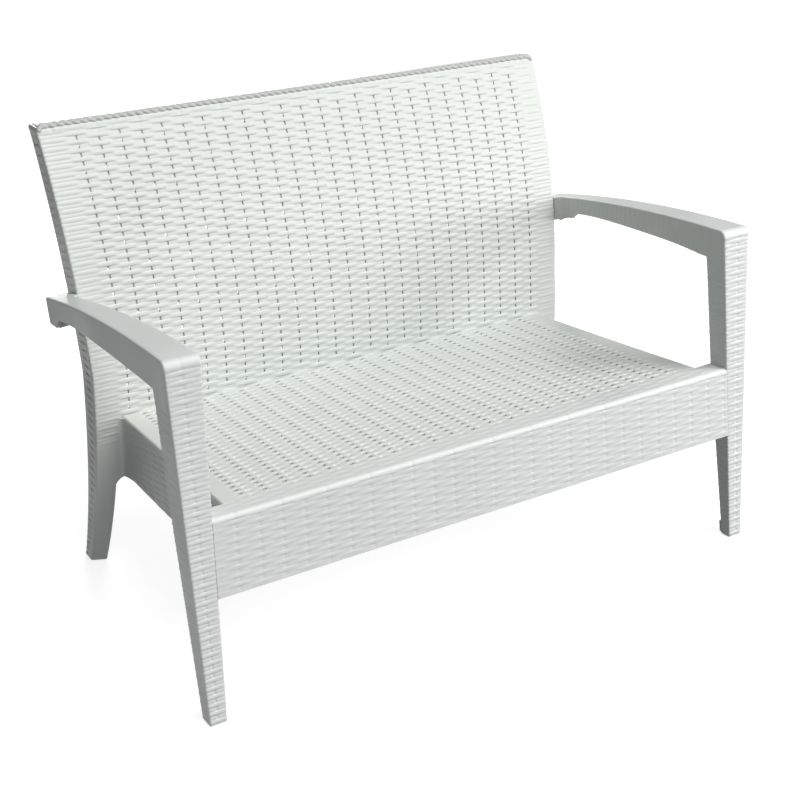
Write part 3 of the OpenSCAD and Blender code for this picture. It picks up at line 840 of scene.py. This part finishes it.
def rope(name, reach, corner, z, r, pitch):
    """Twisted bead along the top edge, running smooth round both corners."""
    straight = reach - corner
    total = straight + corner * math.pi / 2
    d = np.linspace(-total, total, 700)
    turn = np.clip((np.abs(d) - straight) / corner, 0, math.pi / 2)
    x = np.sign(d) * (np.minimum(np.abs(d), straight) + corner * np.sin(turn))
    zc = z - corner * (1 - np.cos(turn))
    end = np.minimum((total - np.abs(d)) / 4.0, 1.0)
    cap = np.sqrt(np.clip(1 - (1 - end) ** 2, 0.02, 1))
    along, around = np.meshgrid(d, np.linspace(0, 2 * math.pi, 20, endpoint=False), indexing="ij")
    ridge = np.abs(np.cos(around - math.pi * along / pitch))
    plain = smooth(straight - 12.0, straight, np.abs(along))
    rad = r * cap[:, None] * mix(0.60 + 0.42 * ridge ** 0.7, 1.0, plain)
    out_x, out_z = np.sign(d) * np.sin(turn), np.cos(turn)
    sections = np.stack([x[:, None] + rad * np.sin(around) * out_x[:, None],
                         face_y(zc)[:, None] + 3.0 + rad * np.cos(around),
                         zc[:, None] + rad * np.sin(around) * out_z[:, None]], -1)
    return loft(name, sections, rounded=True)


# ---- Seat ----
SEAT_EDGE_R = 4.0
SEAT_FLAT = SEAT_REAR_Y - (APRON_TOP_Y + SEAT_NOSE_R)
SEAT_PHASE = SEAT_REAR_Y - 17.0 - 1.5 * ROW_SEAT
SEAT_SLIT = (-12.6, -4.6)
SEAT_OFFSETS = (-17.0, -2.6, 0.0, 2.6, 5.0, 7.5, 10.0, 14.5)
SEAT_SLIT_END, CORD_END = 466.0, 462.0
SEAT_SLIT_REAR, SEAT_SLIT_FRONT = 8.0, SEAT_FLAT - 46.0
# NOSE_BRIGHT is the span of the seat's nose that takes the painted highlight
NOSE_ROW, NOSE_BRIGHT = -3.0, (0.5, 9.5)
JOINT_SLIT = (-0.9, 0.9)
APRON_OFFSETS = (-17.5, -14.0, -9.0, -2.8, 2.8, 9.0, 14.0, 17.5)
APRON_SHIFT, APRON_HALF, APRON_TUCK = -6.0, 533.0, 1.2
APRON_TOP_Z = seat_z(APRON_TOP_Y + SEAT_NOSE_R) - SEAT_NOSE_R
APRON_PHASE = (APRON_TOP_Z - 330.5) - 0.5 * ROW_SIDE
SKIRT_OFFSETS = (-16.0, -12.0, -6.0, -2.8, 2.8, 6.0, 12.0, 16.0)
SKIRT_SHIFT = 165.0
SKIRT_SIDE_Z, SKIRT_FALL, SKIRT_FALL_Y, SKIRT_DIP = 215.5, 0.036, -22.0, 4.0
COVE_R = 9.0
ARCH_X, ARCH_LOW_Z, ARCH_DROP = (474.0, 502.0), 201.0, 15.0
ARCH_BEND_X, ARCH_BEND_RUN = 482.0, 19.0
UNDER_Z, UNDER_HALF, CORNER_X = 200.0, 475.5, (491.0, 545.0)


def seat_path(s):
    """Seat top and nose: y, z and the outward normal, at a distance forward from the rear edge."""
    y1 = APRON_TOP_Y + SEAT_NOSE_R
    y = SEAT_REAR_Y - np.minimum(s, SEAT_FLAT)
    over = np.clip(s - SEAT_FLAT, 0, None)
    a = np.minimum(over / SEAT_NOSE_R, math.pi / 2)
    on_nose = over > 0
    yy = np.where(on_nose, y1 - SEAT_NOSE_R * np.sin(a), y)
    zz = np.where(on_nose, APRON_TOP_Z + SEAT_NOSE_R * np.cos(a), seat_z(y))
    return yy, zz, -np.sin(a), np.cos(a)


def seat_relief(s, rows, frac, u):
    """Relief of the seat: slotted weave, a cord over every column, smooth round the edge."""
    heights = weave(rows, frac, u, COL_SEAT, 0.0, swing=0.55, crown=0.65)
    column, off = column_at(u, COL_SEAT, 0.0)
    is_slit = (rows[:, None] + column) % 2 != 0
    inside = np.abs(u) < CORD_END
    dip = 0.5 * bell(off + 8.5, 5.0) + 1.0 * bell(off - 6.6, 2.8)
    heights -= np.where(is_slit & inside, dip, 0.0)
    heights = mix(heights, 0.55, 0.8 * np.where(inside, bell(off, 2.4), 0.0))
    heights = mix(heights, -0.15, smooth(455.0, 478.0, np.abs(u)))
    front = smooth(SEAT_FLAT - 50.0, SEAT_FLAT - 34.0, s)[:, None]
    return mix(heights, 0.35 * heights + SMOOTH, front)


def seat_top(name, side):
    """Half of the seat's top, from the middle to the rounded side edge, behind the front border."""
    s, rows, frac, s_keep = row_lines(0.0, SEAT_REAR_Y - BORDER_REAR_Y, ROW_SEAT, SEAT_PHASE)
    reach = SEAT_HALF_FRONT - SEAT_EDGE_R
    ends = (0.0, reach) if side > 0 else (-reach, 0.0)
    flat, flat_keep = column_lines(*ends, COL_SEAT, 0.0, SEAT_SLIT, SEAT_OFFSETS)
    if side < 0:
        flat = flat[::-1]
        flat_keep = [len(flat) - 1 - i for i in flat_keep[::-1]]
    path = y, z, ny, nz = seat_path(s)
    edge_x = seat_half(y) - SEAT_EDGE_R
    angles = np.array([0.3, 0.65, 1.0]) * math.pi / 2
    grid = points, normals, u = flat_grid(flat, edge_x / reach, path, len(angles))
    centre = (side * edge_x, y - SEAT_EDGE_R * ny, z - SEAT_EDGE_R * nz)
    round_edge(grid, len(flat), angles, centre, SEAT_EDGE_R, path, side, reach)
    n_flat, nt = len(flat), u.shape[1]
    wall = np.full(nt, WALL)
    wall[n_flat + 1] = WALL * 1.1
    t_keep = flat_keep[:-1] + [n_flat - 1, nt - 1]
    holes = slit_cells(s, rows, s_keep, flat, t_keep, (SEAT_SLIT_REAR, SEAT_SLIT_FRONT), COL_SEAT,
                       0.5 * (SEAT_SLIT[0] + SEAT_SLIT[1]), SEAT_SLIT_END)
    return shell(name, points, normals, seat_relief(s, rows, frac, u), wall, s_keep, t_keep, holes=holes)


def front_border():
    """Full-width smooth border with painted light, the nose with its painted highlight and strand joints, and
    the woven apron below.
    """
    s0 = SEAT_REAR_Y - BORDER_REAR_Y + 0.02
    nose_end = SEAT_FLAT + SEAT_NOSE_R * math.pi / 2
    apron_h = APRON_TOP_Z - SKIRT_Z
    s_apron, apron_rows, apron_frac, keep = row_lines(0.0, apron_h, ROW_SIDE, APRON_PHASE)
    nose_start = SEAT_FLAT + NOSE_ROW
    s_border, border_rows, border_frac, _ = row_lines(s0, nose_start, ROW_SEAT, SEAT_PHASE)
    s_top = np.concatenate([s_border, np.linspace(SEAT_FLAT - 1.5, nose_end - 0.4, 10)])
    s = np.concatenate([s_top, nose_end + s_apron])
    n_top, n_border = len(s_top), len(s_border)
    n_nose = n_top - n_border
    rows = np.concatenate([border_rows, np.zeros(n_nose, int), apron_rows])
    frac = np.concatenate([border_frac, np.full(n_nose, 0.5), apron_frac])
    flat, flat_keep = column_lines(-APRON_HALF, APRON_HALF, COL_SEAT, APRON_SHIFT, JOINT_SLIT, APRON_OFFSETS)
    y, z, ny, nz = seat_path(np.minimum(s, nose_end))
    down = np.clip(s - nose_end, 0, None)
    z = z - down
    y = y + (APRON_LOW_Y - APRON_TOP_Y) / apron_h * down
    # The ends run on under the rounded corners of the front legs
    half = leg_in(z) + APRON_TUCK
    points, normals, u = flat_grid(flat, half / APRON_HALF, (y, z, ny, nz), 0)
    heights = weave(rows, frac, u, COL_SEAT, APRON_SHIFT, swing=0.22, crown=0.42, groove=0.35)
    column, off = column_at(flat, COL_SEAT, APRON_SHIFT)
    is_end = (rows[:, None] + column[None, :]) % 2 != 0
    heights -= np.where(is_end, 0.6 * bell(off, 1.5)[None, :], 0.0)
    hem = smooth(apron_h - 5.0, apron_h - 2.5, down)[:, None]
    ends = smooth(APRON_HALF - 5.0, APRON_HALF - 1.0, np.abs(flat))[None, :]
    heights = mix(heights, -0.25, np.maximum(hem, ends))
    joint = bell(column_at(flat, 2 * COL_SEAT, APRON_SHIFT)[1], 1.5)[None, :]
    along_nose = np.clip((s_top - nose_start) / (nose_end - nose_start), 0, 1)
    bulge = 0.3 * np.sin(along_nose * math.pi)[:, None]
    heights[:n_top] = SMOOTH + bulge - 0.8 * joint * (bulge > 0.05)
    border = 0.35 * weave(border_rows, border_frac, u[:n_border], COL_SEAT, 0.0) + SMOOTH
    heights[:n_border] = border * (1 - ends)
    s_keep = [0, n_border, n_top - 5] + [n_top + i for i in keep]
    # The middle rows of the nose take the painted highlight
    nose = (s > SEAT_FLAT + NOSE_BRIGHT[0]) & (s < SEAT_FLAT + NOSE_BRIGHT[1])
    # The other rows of the border and the nose take the lighter resin of painted light
    row_slots = np.where(nose, EDGE, np.where(s < nose_end, LIGHT_BORDER, MAIN))
    return shell("seat_front", points, normals, heights, np.full(len(flat), WALL), s_keep, flat_keep,
                 row_slots=row_slots)


def skirt(name, side):
    """Side of the seat: strands run front to back, with the cove that meets the back."""
    y_start, y_stop = BORDER_REAR_Y + 0.02, SEAT_REAR_Y - COVE_R - 2
    lines_y, keep_y = column_lines(y_start, y_stop, COL_SEAT, SKIRT_SHIFT, JOINT_SLIT, SKIRT_OFFSETS)
    s, rows, frac, s_keep = row_lines(SKIRT_SIDE_Z, SEAT_FRONT_Z, ROW_SIDE, 0.0)
    angles = np.array([0.2, 0.4, 0.6, 0.8, 1.0]) * math.pi / 2
    n_flat, nt = len(lines_y), len(lines_y) + len(angles)
    y = np.concatenate([lines_y, y_stop + COVE_R * np.sin(angles)])
    x = np.concatenate([seat_half(lines_y), SEAT_HALF_REAR + COVE_R * (1 - np.cos(angles))])
    points = np.zeros((len(s), nt, 3))
    normals = np.zeros_like(points)
    top = seat_z(y) - SEAT_EDGE_R - 0.02
    low = SKIRT_SIDE_Z - SKIRT_FALL * (y - SKIRT_FALL_Y) - SKIRT_DIP * smooth(185.0, 215.0, y)
    up = (s - SKIRT_SIDE_Z) / (SEAT_FRONT_Z - SKIRT_SIDE_Z)
    points[..., 0] = x[None, :]
    points[..., 1] = y[None, :]
    points[..., 2] = low[None, :] + up[:, None] * (top - low)[None, :]
    # The cove follows the curved face of the back
    lag = face_y(points[:, n_flat:, 2]) - face_y(SEAT_REAR_Z)
    points[:, n_flat:, 1] += (lag + 2.4) * (y[n_flat:] - y_stop) / COVE_R
    normals[..., 0] = np.concatenate([np.ones(n_flat), np.cos(angles)])[None, :]
    normals[..., 1] = np.concatenate([np.zeros(n_flat), -np.sin(angles)])[None, :]
    u = np.broadcast_to(y, (len(s), nt))
    heights = weave(rows, frac, u, COL_SEAT, SKIRT_SHIFT, swing=0.5, crown=0.6)
    heights = mix(heights, SMOOTH, smooth(y_stop - 6, y_stop + 2, u))
    t_keep = keep_y[:-1] + [n_flat - 1, n_flat + 2, nt - 1]
    return shell(name, points, normals, heights, np.full(nt, WALL), s_keep, t_keep, side)


def arch_corner(name, side):
    """The rounded corner of the arch, between the skirt's end and the rear leg."""
    sections = []
    for x in np.linspace(*ARCH_X, 15):
        low = ARCH_LOW_Z - ARCH_DROP * np.clip((x - ARCH_BEND_X) / ARCH_BEND_RUN, 0, 1) ** 2.2
        zs = np.linspace(low, RAIL_Z + 1.0, 6)
        front = [[side * x, face_y(z) + 0.15, z] for z in zs]
        rear = [[side * x, face_y(z) + 6.0, z] for z in zs[::-1]]
        sections.append(front + rear)
    return loft(name, sections)


def seat_core(name, x0, x1, ys):
    """The CAD model's ribs, clips and walls under the seat between x0 and x1."""
    room = [upright_ring(x0, x1, y, UNDER_Z, seat_z(y) - CORE_INSET) for y in ys]
    return core_of(name, "seat_shell", [loft("room_seat", room)])


# ---- Arms and front legs ----
ARM_R = 3.0
ARM_PHASE = 2.0
ARM_INSET = ARM_WALL + 0.05
INNER_RISE, INNER_TRIM = 6.0, 10.0
LEG_TOP_Z = ARM_Z - NOSE_R
LEG_LEN = LEG_TOP_Z - FOOT_GAP
NOSE_LEN = NOSE_R * math.pi / 2
NOSE_Y = leg_face_y(LEG_TOP_Z) + NOSE_R
ARM_LEN = LEG_LEN + NOSE_LEN + (ARM_REAR_Y - NOSE_Y)
CORNER_Z, CORNER_Y = 558.0, -258.0
CORNER_START = CORNER_Z - FOOT_GAP
CORNER_STOP = LEG_LEN + NOSE_LEN + (CORNER_Y - NOSE_Y)
END_Y, END_TOP, END_LOW = 240.0, 14.0, 8.0
# Places and heights of the step under the bracket: sharp on the outer wall, softer on the inner one
OUTER_STEP = ((96.0, 152.0, 188.0, 193.0, 207.0, 210.0, 254.0),
              (arm_low(96.0), 559.0, 552.5, 550.5, 535.0, 533.0, 531.0))
INNER_STEP = ((148.0, 152.0, 203.0, 225.0, 254.0), (arm_low(148.0), 554.5, 539.0, 534.0, 531.5))


def arm_path(s):
    """Outer line of the arm: up the leg, round the nose and back along the top."""
    if s <= LEG_LEN:
        z = FOOT_GAP + s
        return (leg_face_y(z), z), (-1.0, 0.0)
    if s <= LEG_LEN + NOSE_LEN:
        a = (s - LEG_LEN) / NOSE_R
        return (NOSE_Y - NOSE_R * math.cos(a), LEG_TOP_Z + NOSE_R * math.sin(a)), (-math.cos(a), math.sin(a))
    y = NOSE_Y + (s - LEG_LEN - NOSE_LEN)
    slope = -2 * ARM_DROP * (y - ARM_FRONT_Y) / (ARM_REAR_Y - ARM_FRONT_Y) ** 2
    length = math.hypot(slope, 1.0)
    return (y, arm_top(y)), (-slope / length, 1.0 / length)


def edge_lift(y, rise):
    """How much higher a wall's edge runs at y, between the leg and the bracket."""
    w = (y - LEG_REAR_Y) / (BRACKET_Y - LEG_REAR_Y)
    return rise * (1 - (2 * w - 1) ** 4) if 0 < w < 1 else 0.0


def open_edge(s, q, trim, rise, step):
    """Open edge of an arm's side wall, for the row at s whose outer point is q."""
    t = min(max((s - CORNER_START) / (CORNER_STOP - CORNER_START), 0.0), 1.0)
    if t <= 0:
        return (leg_back_y(q[1]) - trim, q[1])
    if t >= 1:
        y = min(q[0], END_Y + (q[0] - END_Y) * END_LOW / END_TOP)
        low = arm_low(y) if y < step[0][0] else np.interp(y, *step)
        return (y, low + edge_lift(y, rise))
    on_leg = (leg_back_y(CORNER_Z) - trim, CORNER_Z)
    on_arm = (CORNER_Y, arm_low(CORNER_Y) + edge_lift(CORNER_Y, rise))
    corner = (LEG_REAR_Y - trim + 1.0, ARM_LOW_Z + 0.15 * rise)
    a, b, t = (on_leg, corner, t * 2) if t < 0.5 else (corner, on_arm, t * 2 - 1)
    return (mix(a[0], b[0], t), mix(a[1], b[1], t))


def x_outer(y, z):
    return leg_out(z)


def x_inner(y, z):
    return max(leg_in(z), arm_in(y) if z > 520 else 0.0)


def arm_relief(s, rows, frac, normals, u):
    """Relief of the arm: wrapped strands on the leg, one wide strand on the nose, a faint top."""
    heights = weave(rows, frac, u, COL_SEAT, 0.0, swing=0.22, crown=0.7, groove=0.75)
    heights = heights - (rows % 2 != 0)[:, None] * bell(u, 1.5) * 0.9
    nose_end = LEG_LEN + NOSE_LEN
    on_nose = smooth(LEG_LEN - 4, LEG_LEN + 1, s) * (1 - smooth(nose_end - 2, nose_end + 4, s))
    past = smooth(nose_end - 4, nose_end + 6, s)[:, None]
    on_face = np.abs(normals[..., 0]) < 0.99
    on_inner = normals[..., 0] < -0.99
    calm = past * np.where(on_face, 0.8, np.where(on_inner, 0.15, 0.75))
    # On the side walls the rows that fan round the corner run almost smooth
    fan = smooth(CORNER_START - 14, CORNER_START, s) * (1 - smooth(CORNER_STOP, CORNER_STOP + 14, s))
    calm = np.where(on_face, calm, np.maximum(calm, 0.9 * fan[:, None]))
    heights = mix(heights, SMOOTH, calm)
    ridge = np.where(on_face, 0.35 - 0.8 * bell(u, 1.3), SMOOTH)
    return mix(heights, ridge, on_nose[:, None])


def arm_shell(name, side):
    """Skin of an arm and its front leg: the outer side, the face and the inner side."""
    s, rows, frac, s_keep = row_lines(0.0, ARM_LEN, ROW_SIDE, ARM_PHASE)
    face_steps = np.array([0.0, 0.1, 0.22, 0.34, 0.42, 0.46, 0.50, 0.58, 0.70, 0.80, 0.9, 1.0])
    side_steps = np.array([0.0, 0.12, 0.28, 0.45, 0.62, 0.80, 0.93, 1.0])
    lines = []
    for v in s.tolist():
        q, n = arm_path(v)
        out_edge = open_edge(v, q, 0.0, 0.0, OUTER_STEP)
        in_edge = open_edge(v, q, INNER_TRIM, INNER_RISE, INNER_STEP)
        u_joint = 0.45 * (x_outer(*q) - x_inner(*q))
        lines.append(channel_line(q, out_edge, in_edge, x_outer, x_inner, ARM_R, n, u_joint,
                                  face_steps, side_steps))
    points, normals, u = line_grid(lines)
    heights = arm_relief(s, rows, frac, normals, u)
    nt, n_side, n_face = u.shape[1], len(side_steps), len(face_steps)
    first_face = n_side + 3
    last_corner = first_face + n_face + 1
    t_keep = [0, n_side - 3, n_side + 1, first_face + 2, first_face + 9, last_corner, nt - n_side + 2, nt - 1]
    wall = np.full(nt, ARM_WALL)
    wall[[n_side + 1, last_corner]] = ARM_WALL * 1.15
    # The rows round the arm's nose take the painted highlight
    row_slots = np.where((s > LEG_LEN) & (s < LEG_LEN + NOSE_LEN + 1), EDGE, MAIN)
    return shell(name, points, normals, heights, wall, s_keep, t_keep, side, row_slots=row_slots)


def arm_webs(name, node, side):
    """The CAD model's cross ribs inside an arm and its front leg."""
    leg = []
    for z in np.concatenate([np.linspace(-1.0, 540.0, 14), np.linspace(545, 612, 6)]):
        x0, x1 = sorted((side * (leg_in(z) + ARM_INSET), side * (leg_out(z) - ARM_INSET)))
        rear = leg_back_y(z) + 14 if z < 560 else LEG_REAR_Y + 3
        leg.append(level_ring(x0, x1, leg_face_y(z) + ARM_INSET, rear, z))
    arm = []
    for y in np.linspace(LEG_REAR_Y + 3.2, ARM_REAR_Y + 1, 46):
        x0, x1 = sorted((side * (arm_in(y) + ARM_INSET), side * (ARM_HALF - ARM_INSET)))
        arm.append(upright_ring(x0, x1, y, arm_low(y) - 12, arm_top(y) - ARM_INSET))
    return core_of(name, node, [loft("room_leg", leg), loft("room_arm", arm)])


def step_plate(name, side):
    """The slanted face of the step under the bracket, from the inner wall to the outer wall."""
    sections = []
    for t in np.linspace(0.0, 1.0, 7):
        x = mix(arm_in(152.0) + 3.9, ARM_HALF - 3.6, t)
        y, low, top = mix(152.5, 199.0, t), mix(555.0, 534.8, t), mix(565.0, 551.5, t)
        outline = ((y, top), (y + 2.0, low), (y + 9.0, low), (y + 7.0, top))
        sections.append([[side * x, py, pz] for py, pz in outline])
    return loft(name, sections)


# ---- The pieces ----

def both_sides(make, name, mat, replaced=()):
    for side, tag in SIDES:
        finish_piece(make(name + tag, side), mat, replaced if side > 0 else ())


make_back()
both_sides(rear_leg, "rear_leg_", MAT_WRAP)
both_sides(rail_fillet, "rail_fillet_", MAT_PLAIN)
bead = rope("top_bead", reach=HALF_TOP - 5.7, corner=9.0, z=BENCH_H - BEAD_R - 0.9, r=5.9, pitch=15.0)
finish_piece(bead, MAT_BEAD)
both_sides(seat_top, "seat_weave_", MAT_ACROSS, ["seat_shell"])
finish_piece(front_border(), MAT_FRONT)
both_sides(skirt, "seat_skirt_", MAT_WRAP)
both_sides(arch_corner, "arch_corner_", MAT_WRAP)
under_ys = np.linspace(APRON_TOP_Y + 5.1, SEAT_REAR_Y - 0.1, 40)
finish_piece(seat_core("seat_ribs", -UNDER_HALF, UNDER_HALF, under_ys), MAT_PLAIN)
corner_ys = np.linspace(APRON_TOP_Y + 5.1, BORDER_REAR_Y + 0.5, 6)
for side, tag in SIDES:
    x0, x1 = sorted(side * x for x in CORNER_X)
    finish_piece(seat_core("seat_corner_" + tag, x0, x1, corner_ys), MAT_PLAIN)
for side, tag in SIDES:
    finish_piece(arm_shell("arm_weave_" + tag, side), MAT_WRAP, ["arm_" + tag])
    finish_piece(arm_webs("arm_webs_" + tag, "arm_" + tag, side), MAT_PLAIN)
both_sides(step_plate, "arm_step_", MAT_PLAIN)

# ---- Carried-over parts ----
STEEL = plain_material("galvanised_tube", (0.62, 0.64, 0.65), (0.46, 0.48, 0.49), 1.0, 0.38, 60.0, (0.3, 1, 1))
BOLT = plain_material("stainless_fastener", (0.70, 0.71, 0.72), (0.56, 0.57, 0.58), 1.0, 0.28, 300.0)
PLUG = plain_material("grey_plug", (0.10, 0.103, 0.105), (0.07, 0.072, 0.074), 0.0, 0.5, 200.0)
RUBBER = plain_material("pale_rubber", (0.52, 0.53, 0.52), (0.42, 0.43, 0.42), 0.0, 0.75, 150.0, bump_mm=0.15)
FINISHES = {"seat_tube": STEEL, "tube_plug": PLUG, "foot": RUBBER}
for node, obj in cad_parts.items():
    if node not in ("back_shell", "seat_shell", "arm_left", "arm_right"):
        obj.data.materials.clear()
        obj.data.materials.append(next((FINISHES[key] for key in FINISHES if node.startswith(key)), BOLT))

# ---- Floor, light and camera ----
FLOOR_HALF = 14.0
FLOOR_GLOW = 0.78
CAMERA_AT = (-1.248, -2.185, 1.361)
CAMERA_YAW, CAMERA_PITCH, CAMERA_ROLL = math.radians(29.91), math.radians(22.43), math.radians(-2.62)
CAMERA_LENS = 63.585
CAMERA_SHIFT = -0.0025


def make_floor():
    """A pale floor that glows a little and throws no light back on the bench."""
    mesh = bpy.data.meshes.new("floor")
    h = FLOOR_HALF
    mesh.from_pydata([(-h, -h, 0), (h, -h, 0), (h, h, 0), (-h, h, 0)], [], [(0, 1, 2, 3)])
    floor = add_object("floor", mesh)
    mat = plain_material("studio_floor", (0.36, 0.362, 0.362), (0.35, 0.352, 0.352), 0.0, 0.8, 3.0)
    shader = mat.node_tree.nodes["Principled BSDF"]
    shader.inputs["Emission Color"].default_value = (1, 1, 1, 1)
    shader.inputs["Emission Strength"].default_value = FLOOR_GLOW
    mesh.materials.append(mat)
    floor.visible_diffuse = False


def add_light(name, kind, strength, ahead, colour=(1, 1, 1)):
    """A light that shines along ahead."""
    data = bpy.data.lights.new(name, kind)
    data.energy = strength
    data.color = colour
    obj = add_object(name, data)
    obj.rotation_euler = ahead.to_track_quat("-Z", "Y").to_euler()
    return obj


def area_light(name, place, target, size, power, colour=(1, 1, 1)):
    obj = add_light(name, "AREA", power, Vector(target) - Vector(place), colour)
    obj.data.shape = "RECTANGLE"
    obj.data.size, obj.data.size_y = size
    obj.location = place
    obj.visible_camera = False


def sun_light(name, towards, spread, strength, colour):
    """A soft, even key from the direction towards, spread degrees wide."""
    obj = add_light(name, "SUN", strength, -Vector(towards), colour)
    obj.data.angle = math.radians(spread)


def make_world(lit, seen):
    """A white surround of strength seen for the camera, and a dim one of strength lit for the rest."""
    world = bpy.data.worlds.new("studio")
    bpy.context.scene.world = world
    world.use_nodes = True
    nodes, links = world.node_tree.nodes, world.node_tree.links
    nodes.clear()
    out = nodes.new("ShaderNodeOutputWorld")
    path = nodes.new("ShaderNodeLightPath")
    pick = nodes.new("ShaderNodeMixShader")
    links.new(path.outputs["Is Camera Ray"], pick.inputs[0])
    for i, (colour, strength) in enumerate((((0.93, 0.97, 1.0, 1), lit), ((1, 1, 1, 1), seen)), 1):
        background = nodes.new("ShaderNodeBackground")
        background.inputs[0].default_value = colour
        background.inputs[1].default_value = strength
        links.new(background.outputs[0], pick.inputs[i])
    links.new(pick.outputs[0], out.inputs[0])


def make_camera():
    """The camera, from its place, yaw, downward pitch and small roll."""
    yaw, pitch, roll = CAMERA_YAW, CAMERA_PITCH, CAMERA_ROLL
    ahead = Vector((math.sin(yaw) * math.cos(pitch), math.cos(yaw) * math.cos(pitch), -math.sin(pitch)))
    level = Vector((math.cos(yaw), -math.sin(yaw), 0))
    up = level.cross(ahead)
    right = level * math.cos(roll) + up * math.sin(roll)
    up = up * math.cos(roll) - level * math.sin(roll)
    data = bpy.data.cameras.new("camera")
    data.lens = CAMERA_LENS
    data.sensor_width = 36.0
    data.shift_x = data.shift_y = CAMERA_SHIFT
    data.clip_end = 60
    cam = add_object("camera", data)
    turn = Matrix((right, up, -ahead)).transposed().to_4x4()
    cam.matrix_world = Matrix.Translation(CAMERA_AT) @ turn
    bpy.context.scene.camera = cam


make_floor()
make_world(0.08, 1.0)
sun_light("key", (0.24, -0.53, 0.80), 54, 3.08, (1, 0.998, 0.985))
area_light("side", (2.2, -2.0, 1.2), (0, 0, 0.4), (1.2, 1.2), 45, (1, 0.998, 0.99))
area_light("low_left", (-1.2, -0.45, 0.08), (-0.5, -0.1, 0.25), (0.4, 0.2), 0.8)
area_light("inner", (-0.52, -1.7, 1.1), (0.54, -0.1, 0.55), (0.5, 0.5), 3.5)
area_light("rear", (0.9, 2.8, 1.3), (0.05, 0.2, 0.5), (1.4, 1.4), 58, (1, 0.998, 0.99))
make_camera()
bpy.context.scene.view_settings.view_transform = "Standard"
